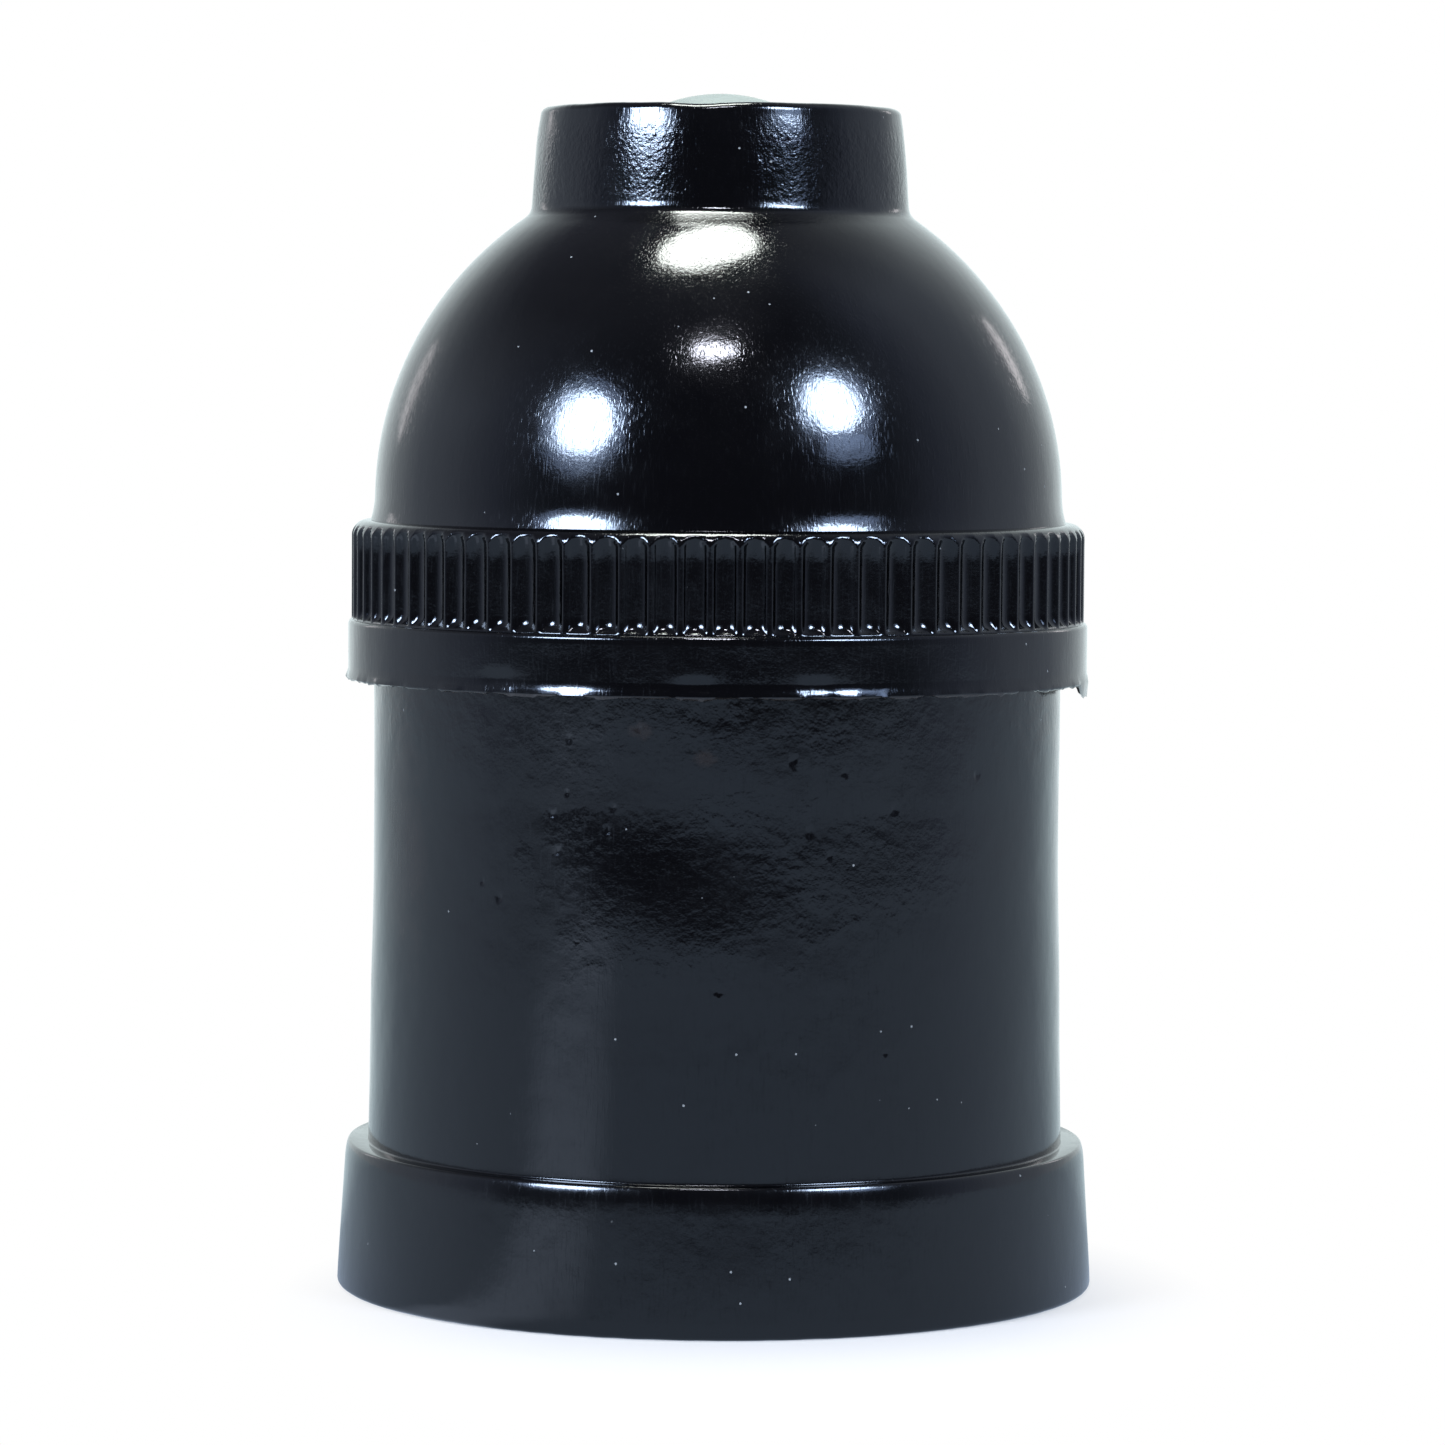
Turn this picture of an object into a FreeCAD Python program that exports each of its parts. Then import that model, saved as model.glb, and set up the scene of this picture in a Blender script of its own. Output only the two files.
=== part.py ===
import FreeCAD, Part

import math
import os

from FreeCAD import Vector

# Pendant lamp socket of black moulded phenolic, standing mouth down.
# Millimetres, +Z up. The origin is the centre of the mouth rim's plane.
# The housing carries the mouth, the flange and a threaded spigot. The cap screws down
# over the spigot and carries the knurled band, the dome and the neck. A porcelain block
# with the lamp's screw shell sits between them and turns with the cap.

# Lamp's screw shell, from which the radii outside it follow
SHELL_R = 13.3
SHELL_WALL = 0.45
SHELL_LENGTH = 22.3
SHELL_CROWN_HEIGHT = 3.1
SHELL_CROWN_STEP = 0.7
SHELL_FLANGE_WIDTH = 3.8

# Porcelain block and its fibre washer
BLOCK_BEARING = 1.4
BLOCK_THICKNESS = 9.2
BLOCK_SINK = 3.5
BLOCK_EDGE = 0.4
WASHER_THICKNESS = 0.4
POCKET_DEPTH = 2.0

# Housing
FLANGE_HEIGHT = 8.5
FLANGE_TAPER = 0.45
FLANGE_LEDGE = 1.35
FLANGE_EDGE = 0.45
RIM_EDGE = 0.3
TUBE_WALL = 1.9
TUBE_FOOT_SPREAD = 0.2
TUBE_WAIST_DEPTH = 0.15
TUBE_WAIST_Z = 29.0
SHOULDER_Z = 36.4
SHOULDER_WIDTH = 1.95
SPIGOT_WALL = 2.1
SPIGOT_HEIGHT = 7.6
SPIGOT_CHAMFER = 0.5
MOUTH_EDGE = 0.6
LEDGE_THICKNESS = 2.4

# Cap
SKIRT_WALL = 1.2
SKIRT_HEIGHT = 3.4
SKIRT_OVERLAP = 0.7
SKIRT_EDGE = 0.25
BAND_WALL = 2.45
BAND_HEIGHT = 5.8
BAND_EDGE = 0.65
FLUTES = 81
FLUTE_DEPTH = 0.4
CREST_SHARE = 0.22
ROOT_SHARE = 0.34
DOME_INSET = 0.9
DOME_CENTRE_RISE = 1.1
DOME_WALL = 2.2
CROWN_WALL = 3.9
NECK_R = 10.75
NECK_TAPER = 0.35
NECK_HEIGHT = 6.12
NECK_EDGE = 0.5
LUG_SETBACK = 0.2
LUG_THICKNESS = 2.4
LUG_WIDTH = 4.0
LUG_HEAD_WIDTH = 7.0
LUG_END_GAP = 1.2

# Metal bush moulded into the neck, its set screw and its closing plug
BUSH_HOLE_R = 4.6
BUSH_SOCKET_STEP = 0.6
BUSH_SOCKET_DEPTH = 1.2
BUSH_RIM_WIDTH = 1.05
BUSH_SINK = 1.4
BUSH_FLANGE_WIDTH = 1.4
BUSH_FLANGE_THICKNESS = 1.0
SET_SCREW_R = 1.45
SET_SCREW_LENGTH = 5.3
SET_SCREW_SLOT_WIDTH = 0.6
SET_SCREW_SLOT_DEPTH = 0.8
PLUG_LAP = 0.35
PLUG_STEM_EDGE = 0.3
PLUG_RIM_THICKNESS = 0.35
PLUG_RISE = 0.88

# Centre contact
CONTACT_WIDTH = 4.6
CONTACT_SHEET = 0.5
CONTACT_BASE = 3.9
CONTACT_DROP = 2.0
CONTACT_NOSE = 3.4
CONTACT_SLOPE_END_Y = 0.7

# Rivets
RIVET_R = 1.2
RIVET_HEAD_R = 1.8
RIVET_HEAD = 0.7
RIVET_BEARING = math.radians(42.7)

# Terminal plates, clamps and screws
PLATE_SHEET = 0.8
PLATE_WIDTH = 6.8
PLATE_SETBACK = 1.9
PLATE_LIP = 1.4
PLATE_MARGIN = 2.1
SCREW_R = 1.6
SCREW_LENGTH = 5.6
SCREW_HEAD_R = 2.9
SCREW_HEAD = 1.8
SCREW_HEAD_EDGE = 0.45
SCREW_SLOT_WIDTH = 0.7
SCREW_SLOT_DEPTH = 0.9
CLAMP_SIDE = 5.6
CLAMP_SHEET = 0.6

# Clearances
TURN_GAP = 0.3
THREAD_GAP = 0.35
SKIRT_GAP = 0.35
SEAT_GAP = 0.3
REST_GAP = 0.1
SCREW_GAP = 0.06
SHELL_GAP = 0.75
LUG_GAP = 0.3
POCKET_GAP = 0.4
FLEX_GAP = 0.32
HOLE_GAP = 0.4
RIVET_GAP = 0.03
RIVET_WALL_GAP = 0.2
LIP_GAP = 0.3
CLAMP_GAP = 0.5

# How far a cutting shape runs past the face that it cuts
OVERCUT = 1.0

AXIS = Vector(0, 0, 1)
VIA = "via"

# Radii, from the lamp's thread outwards
shell_outer_r = SHELL_R + SHELL_WALL
shell_crown_r = SHELL_R - SHELL_CROWN_STEP
shell_hole_r = shell_crown_r - SHELL_FLANGE_WIDTH
ledge_hole_r = shell_outer_r + SHELL_GAP
block_r = ledge_hole_r + BLOCK_BEARING
lug_outer_r = block_r - LUG_SETBACK
lug_inner_r = lug_outer_r - LUG_THICKNESS
spigot_bore_r = block_r + TURN_GAP
spigot_r = spigot_bore_r + SPIGOT_WALL
tube_top_r = spigot_r + SHOULDER_WIDTH
tube_waist_r = tube_top_r - TUBE_WAIST_DEPTH
tube_foot_r = tube_top_r + TUBE_FOOT_SPREAD
flange_top_r = tube_foot_r + FLANGE_LEDGE
flange_rim_r = flange_top_r + FLANGE_TAPER
mouth_r = tube_waist_r - TUBE_WALL
skirt_bore_r = tube_top_r + SKIRT_GAP
skirt_r = skirt_bore_r + SKIRT_WALL
thread_bore_r = spigot_r + THREAD_GAP
root_r = thread_bore_r + BAND_WALL
band_r = root_r + FLUTE_DEPTH
dome_r = root_r - DOME_INSET
chamber_r = dome_r - DOME_WALL
neck_foot_r = NECK_R + NECK_TAPER
bush_socket_r = BUSH_HOLE_R + BUSH_SOCKET_STEP
plug_head_r = bush_socket_r + PLUG_LAP
bush_r = plug_head_r + BUSH_RIM_WIDTH
bush_flange_r = bush_r + BUSH_FLANGE_WIDTH

# Heights, from the housing's shoulder down to the lamp and up to the neck
spigot_top = SHOULDER_Z + SPIGOT_HEIGHT
block_top = spigot_top - BLOCK_SINK
block_z = block_top - BLOCK_THICKNESS
ledge_z = block_z - REST_GAP - WASHER_THICKNESS
pocket_z = block_top - POCKET_DEPTH
plate_top = pocket_z + PLATE_SHEET
contact_top = block_z - FLEX_GAP
cap_z = SHOULDER_Z - SKIRT_OVERLAP
band_z = cap_z + SKIRT_HEIGHT
band_top = band_z + BAND_HEIGHT
dome_z = band_top + DOME_CENTRE_RISE
neck_z = dome_z + math.sqrt(dome_r**2 - neck_foot_r**2)
rim_z = neck_z + NECK_HEIGHT
ceiling_z = neck_z - CROWN_WALL
bush_top = rim_z - BUSH_SINK
socket_floor_z = bush_top - BUSH_SOCKET_DEPTH
set_screw_z = socket_floor_z - REST_GAP - SCREW_GAP - SET_SCREW_R

# Places of the terminals and rivets, from the block's edge inwards
plate_end_y = block_r - PLATE_SETBACK
terminal_y = plate_end_y - PLATE_SHEET - LIP_GAP - CLAMP_SIDE / 2
contact_rivet_y = terminal_y - CLAMP_SIDE / 2 - CLAMP_GAP - RIVET_HEAD_R
rivet_circle_r = shell_crown_r - RIVET_WALL_GAP - RIVET_HEAD_R
shell_rivet_x = rivet_circle_r * math.cos(RIVET_BEARING)
shell_rivet_y = rivet_circle_r * math.sin(RIVET_BEARING)


def section(corners):
    """Flat outline in the XZ plane. A corner is (r, z), (r, z, rounding) or (r, z, VIA),
    where an arc runs from the point before through the VIA point to the point after."""
    points = [Vector(corner[0], 0, corner[1]) for corner in corners]
    spots = []
    for i, corner in enumerate(corners):
        here = points[i]
        extra = corner[2] if len(corner) == 3 else 0
        if extra == VIA or extra == 0:
            spots.append((here, extra == VIA))
            continue
        back = (points[i - 1] - here).normalize()
        onward = (points[(i + 1) % len(points)] - here).normalize()
        half = back.getAngle(onward) / 2
        middle = (back + onward).normalize()
        spots.append((here + back * (extra / math.tan(half)), False))
        spots.append((here + middle * (extra / math.sin(half) - extra), True))
        spots.append((here + onward * (extra / math.tan(half)), False))
    edges = []
    i = 0
    while i < len(spots):
        start = spots[i][0]
        follower, is_via = spots[(i + 1) % len(spots)]
        if is_via:
            end = spots[(i + 2) % len(spots)][0]
            edges.append(Part.Arc(start, follower, end).toShape())
            i += 2
        else:
            edges.append(Part.LineSegment(start, follower).toShape())
            i += 1
    return Part.Face(Part.Wire(edges))


def turned(corners):
    return section(corners).revolve(Vector(0, 0, 0), AXIS, 360)


def cylinder(r, bottom, top, x=0.0, y=0.0):
    return Part.makeCylinder(r, top - bottom, Vector(x, y, bottom), AXIS)


def block(x_low, x_high, y_low, y_high, z_low, z_high):
    return Part.makeBox(
        x_high - x_low, y_high - y_low, z_high - z_low, Vector(x_low, y_low, z_low)
    )


def on_sphere(radius, centre_z, z):
    return math.sqrt(radius**2 - (z - centre_z) ** 2)


def sphere_middle(radius, centre_z, z_from, z_to):
    """Point of a sphere's outline half way in angle between two heights."""
    low = math.asin(max(-1, (z_from - centre_z) / radius))
    high = math.asin(min(1, (z_to - centre_z) / radius))
    middle = (low + high) / 2
    return radius * math.cos(middle), centre_z + radius * math.sin(middle), VIA


def save(shape, node):
    os.makedirs("parts", exist_ok=True)
    shape.exportStep("parts/%s.step" % node)


def make_housing():
    outside = [
        (mouth_r, 0, MOUTH_EDGE),
        (flange_rim_r, 0, RIM_EDGE),
        (flange_top_r, FLANGE_HEIGHT, FLANGE_EDGE),
        (tube_foot_r, FLANGE_HEIGHT),
        (tube_waist_r, TUBE_WAIST_Z),
        (tube_top_r, SHOULDER_Z, SKIRT_EDGE),
        (spigot_r, SHOULDER_Z),
        (spigot_r, spigot_top - SPIGOT_CHAMFER),
        (spigot_r - SPIGOT_CHAMFER, spigot_top),
    ]
    inside = [
        (spigot_bore_r, spigot_top),
        (spigot_bore_r, ledge_z),
        (ledge_hole_r, ledge_z),
        (ledge_hole_r, ledge_z - LEDGE_THICKNESS),
        (mouth_r, ledge_z - LEDGE_THICKNESS),
    ]
    return turned(outside + inside)


def make_fluted_band():
    """Ring of the band's flutes, one narrow crest and one wide root each, rounded at the top."""
    pitch = 2 * math.pi / FLUTES
    corners = []
    for i in range(FLUTES):
        middle = i * pitch
        for r, share in (
            (root_r, -ROOT_SHARE / 2),
            (root_r, ROOT_SHARE / 2),
            (band_r, (1 - CREST_SHARE) / 2),
            (band_r, (1 + CREST_SHARE) / 2),
        ):
            angle = middle + share * pitch
            corners.append(Vector(r * math.cos(angle), r * math.sin(angle), cap_z))
    outline = Part.makePolygon(corners + [corners[0]])
    prism = Part.Face(outline).extrude(Vector(0, 0, band_top - cap_z))
    inner_r = root_r - BAND_EDGE
    limits = turned(
        [
            (inner_r, band_z - SKIRT_EDGE),
            (band_r, band_z - SKIRT_EDGE),
            (band_r, band_top, BAND_EDGE),
            (inner_r, band_top),
        ]
    )
    return prism.common(limits)


def make_cap():
    band_foot = band_z + (skirt_r - root_r)
    step_z = SHOULDER_Z + SEAT_GAP
    chamber_z = spigot_top + SEAT_GAP
    core = turned(
        [
            (0, cap_z),
            (skirt_r, cap_z, SKIRT_EDGE),
            (skirt_r, band_z),
            (root_r, band_foot),
            (root_r, band_top, (root_r - on_sphere(dome_r, dome_z, band_top)) / 2),
            (on_sphere(dome_r, dome_z, band_top), band_top),
            sphere_middle(dome_r, dome_z, band_top, neck_z),
            (neck_foot_r, neck_z),
            (NECK_R, rim_z, NECK_EDGE),
            (0, rim_z),
        ]
    )
    cavity = turned(
        [
            (0, cap_z - OVERCUT),
            (skirt_bore_r, cap_z - OVERCUT),
            (skirt_bore_r, step_z),
            (thread_bore_r, step_z),
            (thread_bore_r, chamber_z),
            (on_sphere(chamber_r, dome_z, chamber_z), chamber_z),
            sphere_middle(chamber_r, dome_z, chamber_z, ceiling_z),
            (on_sphere(chamber_r, dome_z, ceiling_z), ceiling_z),
            (0, ceiling_z),
        ]
    )
    body = core.cut(cavity)
    body = body.cut(cylinder(bush_r, ceiling_z - OVERCUT, bush_top))
    neck_mouth_r = plug_head_r + SEAT_GAP
    body = body.cut(cylinder(neck_mouth_r, bush_top - OVERCUT, rim_z + OVERCUT))
    access_r = SET_SCREW_R + HOLE_GAP
    body = body.cut(
        Part.makeCylinder(
            access_r, neck_foot_r, Vector(0, bush_r - OVERCUT, set_screw_z), Vector(0, 1, 0)
        )
    )
    body = add_lugs(body)
    return body.fuse(make_fluted_band())


def add_lugs(body):
    """Two ribs of the dome that reach down into the block's notches and hold it down."""
    stem_low = block_z + LUG_END_GAP
    head_low = block_top + SEAT_GAP
    wall_z = spigot_top + SEAT_GAP
    half = LUG_WIDTH / 2
    head_half = LUG_HEAD_WIDTH / 2
    for turn in (0, 180):
        stem = block(lug_inner_r, lug_outer_r, -half, half, stem_low, wall_z + OVERCUT)
        head = block(lug_inner_r, lug_outer_r, -head_half, head_half, head_low, wall_z + OVERCUT)
        rib = block(lug_inner_r, dome_r, -head_half, head_half, wall_z + SEAT_GAP, neck_z)
        rib = rib.common(trimming_ball())
        lug = stem.fuse(head).fuse(rib)
        lug.rotate(Vector(0, 0, 0), AXIS, turn)
        body = body.fuse(lug)
    return body.removeSplitter()


def trimming_ball():
    """Ball just larger than the chamber, which ends a rib inside the dome's wall."""
    ball = Part.makeSphere(dome_r - DOME_WALL / 2)
    ball.translate(Vector(0, 0, dome_z))
    return ball


def make_bush():
    bush = cylinder(bush_r, ceiling_z - BUSH_FLANGE_THICKNESS, bush_top)
    flange = cylinder(bush_flange_r, ceiling_z - BUSH_FLANGE_THICKNESS, ceiling_z)
    bush = bush.fuse(flange).removeSplitter()
    bush = bush.cut(cylinder(BUSH_HOLE_R, ceiling_z - 2 * BUSH_FLANGE_THICKNESS, rim_z))
    bush = bush.cut(cylinder(bush_socket_r, socket_floor_z, rim_z))
    hole_r = SET_SCREW_R + SCREW_GAP
    return bush.cut(
        Part.makeCylinder(hole_r, bush_r, Vector(0, BUSH_HOLE_R / 2, set_screw_z), Vector(0, 1, 0))
    )


def make_set_screw():
    tip_y = BUSH_HOLE_R + REST_GAP
    screw = Part.makeCylinder(
        SET_SCREW_R, SET_SCREW_LENGTH, Vector(0, tip_y, set_screw_z), Vector(0, 1, 0)
    )
    half = SET_SCREW_SLOT_WIDTH / 2
    end_y = tip_y + SET_SCREW_LENGTH
    slot = block(
        -SET_SCREW_R,
        SET_SCREW_R,
        end_y - SET_SCREW_SLOT_DEPTH,
        end_y + OVERCUT,
        set_screw_z - half,
        set_screw_z + half,
    )
    return screw.cut(slot)


def make_plug():
    """Domed plug: the head lies over the bush and the stem fits the socket in its end."""
    stem_r = bush_socket_r - SCREW_GAP
    seat_z = bush_top + REST_GAP
    stem_low = socket_floor_z + 2 * REST_GAP
    rim = seat_z + PLUG_RIM_THICKNESS
    apex = rim_z + PLUG_RISE
    rise = apex - rim
    crown_r = (plug_head_r**2 + rise**2) / (2 * rise)
    return turned(
        [
            (0, stem_low),
            (stem_r, stem_low, PLUG_STEM_EDGE),
            (stem_r, seat_z),
            (plug_head_r, seat_z),
            (plug_head_r, rim),
            sphere_middle(crown_r, apex - crown_r, rim, apex),
            (0, apex),
        ]
    )


def terminal_outline(gap, low, high, neutral):
    """Plan of a terminal plate, grown by gap. The neutral one has an arm to its rivet."""
    half = PLATE_WIDTH / 2 + gap
    start_y = contact_rivet_y - PLATE_MARGIN - gap
    if neutral:
        start_y = shell_rivet_y - PLATE_MARGIN - gap
    plan = block(-half, half, start_y, plate_end_y + gap, low, high)
    if neutral:
        arm = block(
            0,
            shell_rivet_x + PLATE_MARGIN + gap,
            start_y,
            shell_rivet_y + PLATE_MARGIN + gap,
            low,
            high,
        )
        plan = plan.fuse(arm).removeSplitter()
        plan.rotate(Vector(0, 0, 0), AXIS, 180)
    return plan


def make_block():
    body = turned(
        [
            (0, block_z),
            (block_r, block_z, BLOCK_EDGE),
            (block_r, block_top, BLOCK_EDGE),
            (0, block_top),
        ]
    )
    for neutral in (False, True):
        body = body.cut(terminal_outline(POCKET_GAP, pocket_z, block_top + OVERCUT, neutral))
        side = -1 if neutral else 1
        screw_y = side * terminal_y
        well_floor = plate_top + CLAMP_SHEET - SCREW_LENGTH - HOLE_GAP
        body = body.cut(cylinder(SCREW_R + HOLE_GAP, well_floor, block_top, 0, screw_y))
    rivet_hole_r = RIVET_R + RIVET_GAP
    sink_r = RIVET_HEAD_R + POCKET_GAP
    body = body.cut(cylinder(sink_r, pocket_z, block_top + OVERCUT, shell_rivet_x, shell_rivet_y))
    for x, y in (
        (0, contact_rivet_y),
        (shell_rivet_x, shell_rivet_y),
        (-shell_rivet_x, -shell_rivet_y),
    ):
        body = body.cut(cylinder(rivet_hole_r, block_z - OVERCUT, block_top + OVERCUT, x, y))
    half = LUG_WIDTH / 2 + LUG_GAP
    for turn in (0, 180):
        notch = block(
            lug_inner_r - LUG_GAP, block_r + OVERCUT, -half, half, block_z - OVERCUT, block_top + OVERCUT
        )
        notch.rotate(Vector(0, 0, 0), AXIS, turn)
        body = body.cut(notch)
    return body


def make_washer():
    washer = cylinder(block_r, ledge_z, ledge_z + WASHER_THICKNESS)
    return washer.cut(cylinder(ledge_hole_r, ledge_z - OVERCUT, block_z))


def make_shell():
    """Drawn screw shell: the thread's length, a narrower crown and a flange for its rivets.
    The rolled thread itself is left off, so the wall lies on the thread's major diameter."""
    mouth_z = block_z - SHELL_LENGTH
    thread_end = block_z - SHELL_CROWN_HEIGHT
    crown_outer_r = shell_crown_r + SHELL_WALL
    shell = turned(
        [
            (SHELL_R, mouth_z),
            (shell_outer_r, mouth_z),
            (shell_outer_r, thread_end + SHELL_WALL),
            (crown_outer_r, thread_end + SHELL_WALL),
            (crown_outer_r, block_z, SHELL_WALL),
            (shell_hole_r, block_z),
            (shell_hole_r, block_z - SHELL_WALL),
            (shell_crown_r, block_z - SHELL_WALL),
            (shell_crown_r, thread_end),
            (SHELL_R, thread_end),
        ]
    )
    for side in (1, -1):
        x = side * shell_rivet_x
        y = side * shell_rivet_y
        hole = cylinder(RIVET_R + RIVET_GAP, block_z - 2 * SHELL_WALL, block_z + OVERCUT, x, y)
        shell = shell.cut(hole)
    return shell


def make_contact():
    """Folded strip: a base round its rivet, a slope down, and a nose across the lamp's axis."""
    base_end = contact_rivet_y + CONTACT_BASE / 2
    bend = contact_rivet_y - CONTACT_BASE / 2
    nose_z = contact_top - CONTACT_DROP
    tip = -CONTACT_NOSE
    upper = [(base_end, contact_top), (bend, contact_top), (CONTACT_SLOPE_END_Y, nose_z), (tip, nose_z)]
    outline = [Vector(0, y, z) for y, z in upper]
    outline += [Vector(0, y, z - CONTACT_SHEET) for y, z in reversed(upper)]
    strip = Part.Face(Part.makePolygon(outline + [outline[0]]))
    strip = strip.extrude(Vector(CONTACT_WIDTH, 0, 0))
    strip.translate(Vector(-CONTACT_WIDTH / 2, 0, 0))
    hole_r = RIVET_R + FLEX_GAP
    return strip.cut(cylinder(hole_r, contact_top - 2 * CONTACT_SHEET, block_z, 0, contact_rivet_y))


def rivet(x, y, lower_face, upper_face):
    """Rivet closed on a lower and an upper face, with a domed head beyond each."""
    crown_r = (RIVET_HEAD_R**2 + RIVET_HEAD**2) / (2 * RIVET_HEAD)
    high = upper_face + RIVET_HEAD
    low = lower_face - RIVET_HEAD
    shape = turned(
        [
            (0, low),
            sphere_middle(crown_r, low + crown_r, low, lower_face),
            (RIVET_HEAD_R, lower_face),
            (RIVET_R, lower_face),
            (RIVET_R, upper_face),
            (RIVET_HEAD_R, upper_face),
            sphere_middle(crown_r, high - crown_r, upper_face, high),
            (0, high),
        ]
    )
    shape.translate(Vector(x, y, 0))
    return shape


def make_terminal(neutral):
    """Terminal plate in its pocket, with an upturned lip that keeps the wire in."""
    plate = terminal_outline(0, pocket_z, plate_top, neutral)
    side = -1 if neutral else 1
    half = PLATE_WIDTH / 2
    lip_y = sorted((side * plate_end_y, side * (plate_end_y - PLATE_SHEET)))
    lip = block(-half, half, lip_y[0], lip_y[1], plate_top - PLATE_SHEET, plate_top + PLATE_LIP)
    plate = plate.fuse(lip).removeSplitter()
    hole_r = SCREW_R + SCREW_GAP
    plate = plate.cut(cylinder(hole_r, pocket_z - OVERCUT, block_top, 0, side * terminal_y))
    x = -shell_rivet_x if neutral else 0
    y = -shell_rivet_y if neutral else contact_rivet_y
    return plate.cut(cylinder(RIVET_R + RIVET_GAP, pocket_z - OVERCUT, block_top, x, y))


def make_clamp(side):
    """Square saddle washer, held captive under the terminal screw's head."""
    low = plate_top + REST_GAP
    half = CLAMP_SIDE / 2
    y = side * terminal_y
    plate = block(-half, half, y - half, y + half, low, low + CLAMP_SHEET)
    return plate.cut(cylinder(SCREW_R + SCREW_GAP, low - OVERCUT, block_top + OVERCUT, 0, y))


def make_screw(side):
    """Cheese-head terminal screw with a slot across the plate."""
    seat = plate_top + REST_GAP + CLAMP_SHEET
    y = side * terminal_y
    head = turned(
        [
            (0, seat),
            (SCREW_HEAD_R, seat),
            (SCREW_HEAD_R, seat + SCREW_HEAD, SCREW_HEAD_EDGE),
            (0, seat + SCREW_HEAD),
        ]
    )
    head.translate(Vector(0, y, 0))
    screw = head.fuse(cylinder(SCREW_R, seat - SCREW_LENGTH, seat, 0, y)).removeSplitter()
    half = SCREW_SLOT_WIDTH / 2
    top = seat + SCREW_HEAD
    slot = block(
        -SCREW_HEAD_R, SCREW_HEAD_R, y - half, y + half, top - SCREW_SLOT_DEPTH, top + OVERCUT
    )
    return screw.cut(slot)


contact_rivet_seat_z = contact_top - CONTACT_SHEET - FLEX_GAP

save(make_housing(), "housing")
save(make_washer(), "seat_washer")
save(make_cap(), "cap")
save(make_bush(), "neck_bush")
save(make_set_screw(), "set_screw")
save(make_plug(), "entry_plug")
save(make_block(), "terminal_block")
save(make_shell(), "screw_shell")
save(make_contact(), "centre_contact")
save(rivet(0, contact_rivet_y, contact_rivet_seat_z, plate_top), "contact_rivet")
save(rivet(shell_rivet_x, shell_rivet_y, block_z - SHELL_WALL, pocket_z), "shell_rivet")
save(rivet(-shell_rivet_x, -shell_rivet_y, block_z - SHELL_WALL, plate_top), "neutral_rivet")
save(make_terminal(False), "line_terminal")
save(make_terminal(True), "neutral_terminal")
save(make_clamp(1), "line_clamp")
save(make_clamp(-1), "neutral_clamp")
save(make_screw(1), "line_screw")
save(make_screw(-1), "neutral_screw")
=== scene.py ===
import math

import bmesh
import bpy
from mathutils import Matrix, Vector, noise


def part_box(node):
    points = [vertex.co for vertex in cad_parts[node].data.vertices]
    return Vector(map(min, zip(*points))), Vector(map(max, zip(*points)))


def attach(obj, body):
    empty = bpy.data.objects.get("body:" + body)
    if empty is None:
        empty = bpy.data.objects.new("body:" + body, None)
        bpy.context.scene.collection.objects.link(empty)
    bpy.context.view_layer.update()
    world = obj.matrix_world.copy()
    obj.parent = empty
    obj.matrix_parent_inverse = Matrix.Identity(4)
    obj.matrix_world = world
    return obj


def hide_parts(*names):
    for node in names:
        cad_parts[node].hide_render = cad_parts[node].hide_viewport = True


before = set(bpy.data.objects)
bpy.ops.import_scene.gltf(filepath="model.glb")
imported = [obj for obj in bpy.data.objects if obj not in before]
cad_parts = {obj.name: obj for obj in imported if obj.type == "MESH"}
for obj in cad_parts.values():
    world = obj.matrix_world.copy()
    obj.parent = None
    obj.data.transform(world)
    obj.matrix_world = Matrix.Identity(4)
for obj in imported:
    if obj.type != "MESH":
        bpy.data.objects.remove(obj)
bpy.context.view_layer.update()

# Housing: the lower half, compression moulded in black phenolic. It stands on its mouth rim, a
# shade's ring rests on its flange, and the cap screws onto the threaded spigot at its top.
MM = 0.001
TURNS = 486
SECTORS = 9

housing_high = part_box("housing")[1] / MM
flange_r = housing_high.x
spigot_top = housing_high.z
FLANGE_TOP_R = 21.8
FLANGE_Z = 8.5
LEDGE_DISH = 0.08
MOUTH_R = 18.2
MOUTH_EDGE = 0.6
RIM_EDGE = 0.3
TUBE_FOOT_R = 20.45
TUBE_WAIST_R = 20.12
TUBE_WAIST_Z = 29.0
TUBE_TOP_R = 20.17
SHOULDER_Z = 36.4
SPIGOT_R = 18.3
SPIGOT_BORE_R = 16.2
LEDGE_Z = 30.8
LEDGE_HOLE_R = 14.5
LEDGE_THICKNESS = 2.4
SPIGOT_THREAD_PITCH = 3.0
SPIGOT_THREAD_DEPTH = 0.4
SPIGOT_THREAD_FROM = 37.2
SPIGOT_THREAD_TO = 43.2
SPIGOT_THREAD_FADE = 0.8


def arc(r, z, radius, start, end, count):
    """Outline points on an arc round (r, z), from start to end in degrees above the outward line."""
    angles = [math.radians(start + (end - start) * i / count) for i in range(count + 1)]
    return [(r + radius * math.cos(a), z + radius * math.sin(a)) for a in angles]


def run(start, end, count):
    """Outline points between two corners, both left out."""
    return [
        (start[0] + (end[0] - start[0]) * i / count, start[1] + (end[1] - start[1]) * i / count)
        for i in range(1, count)
    ]


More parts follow.
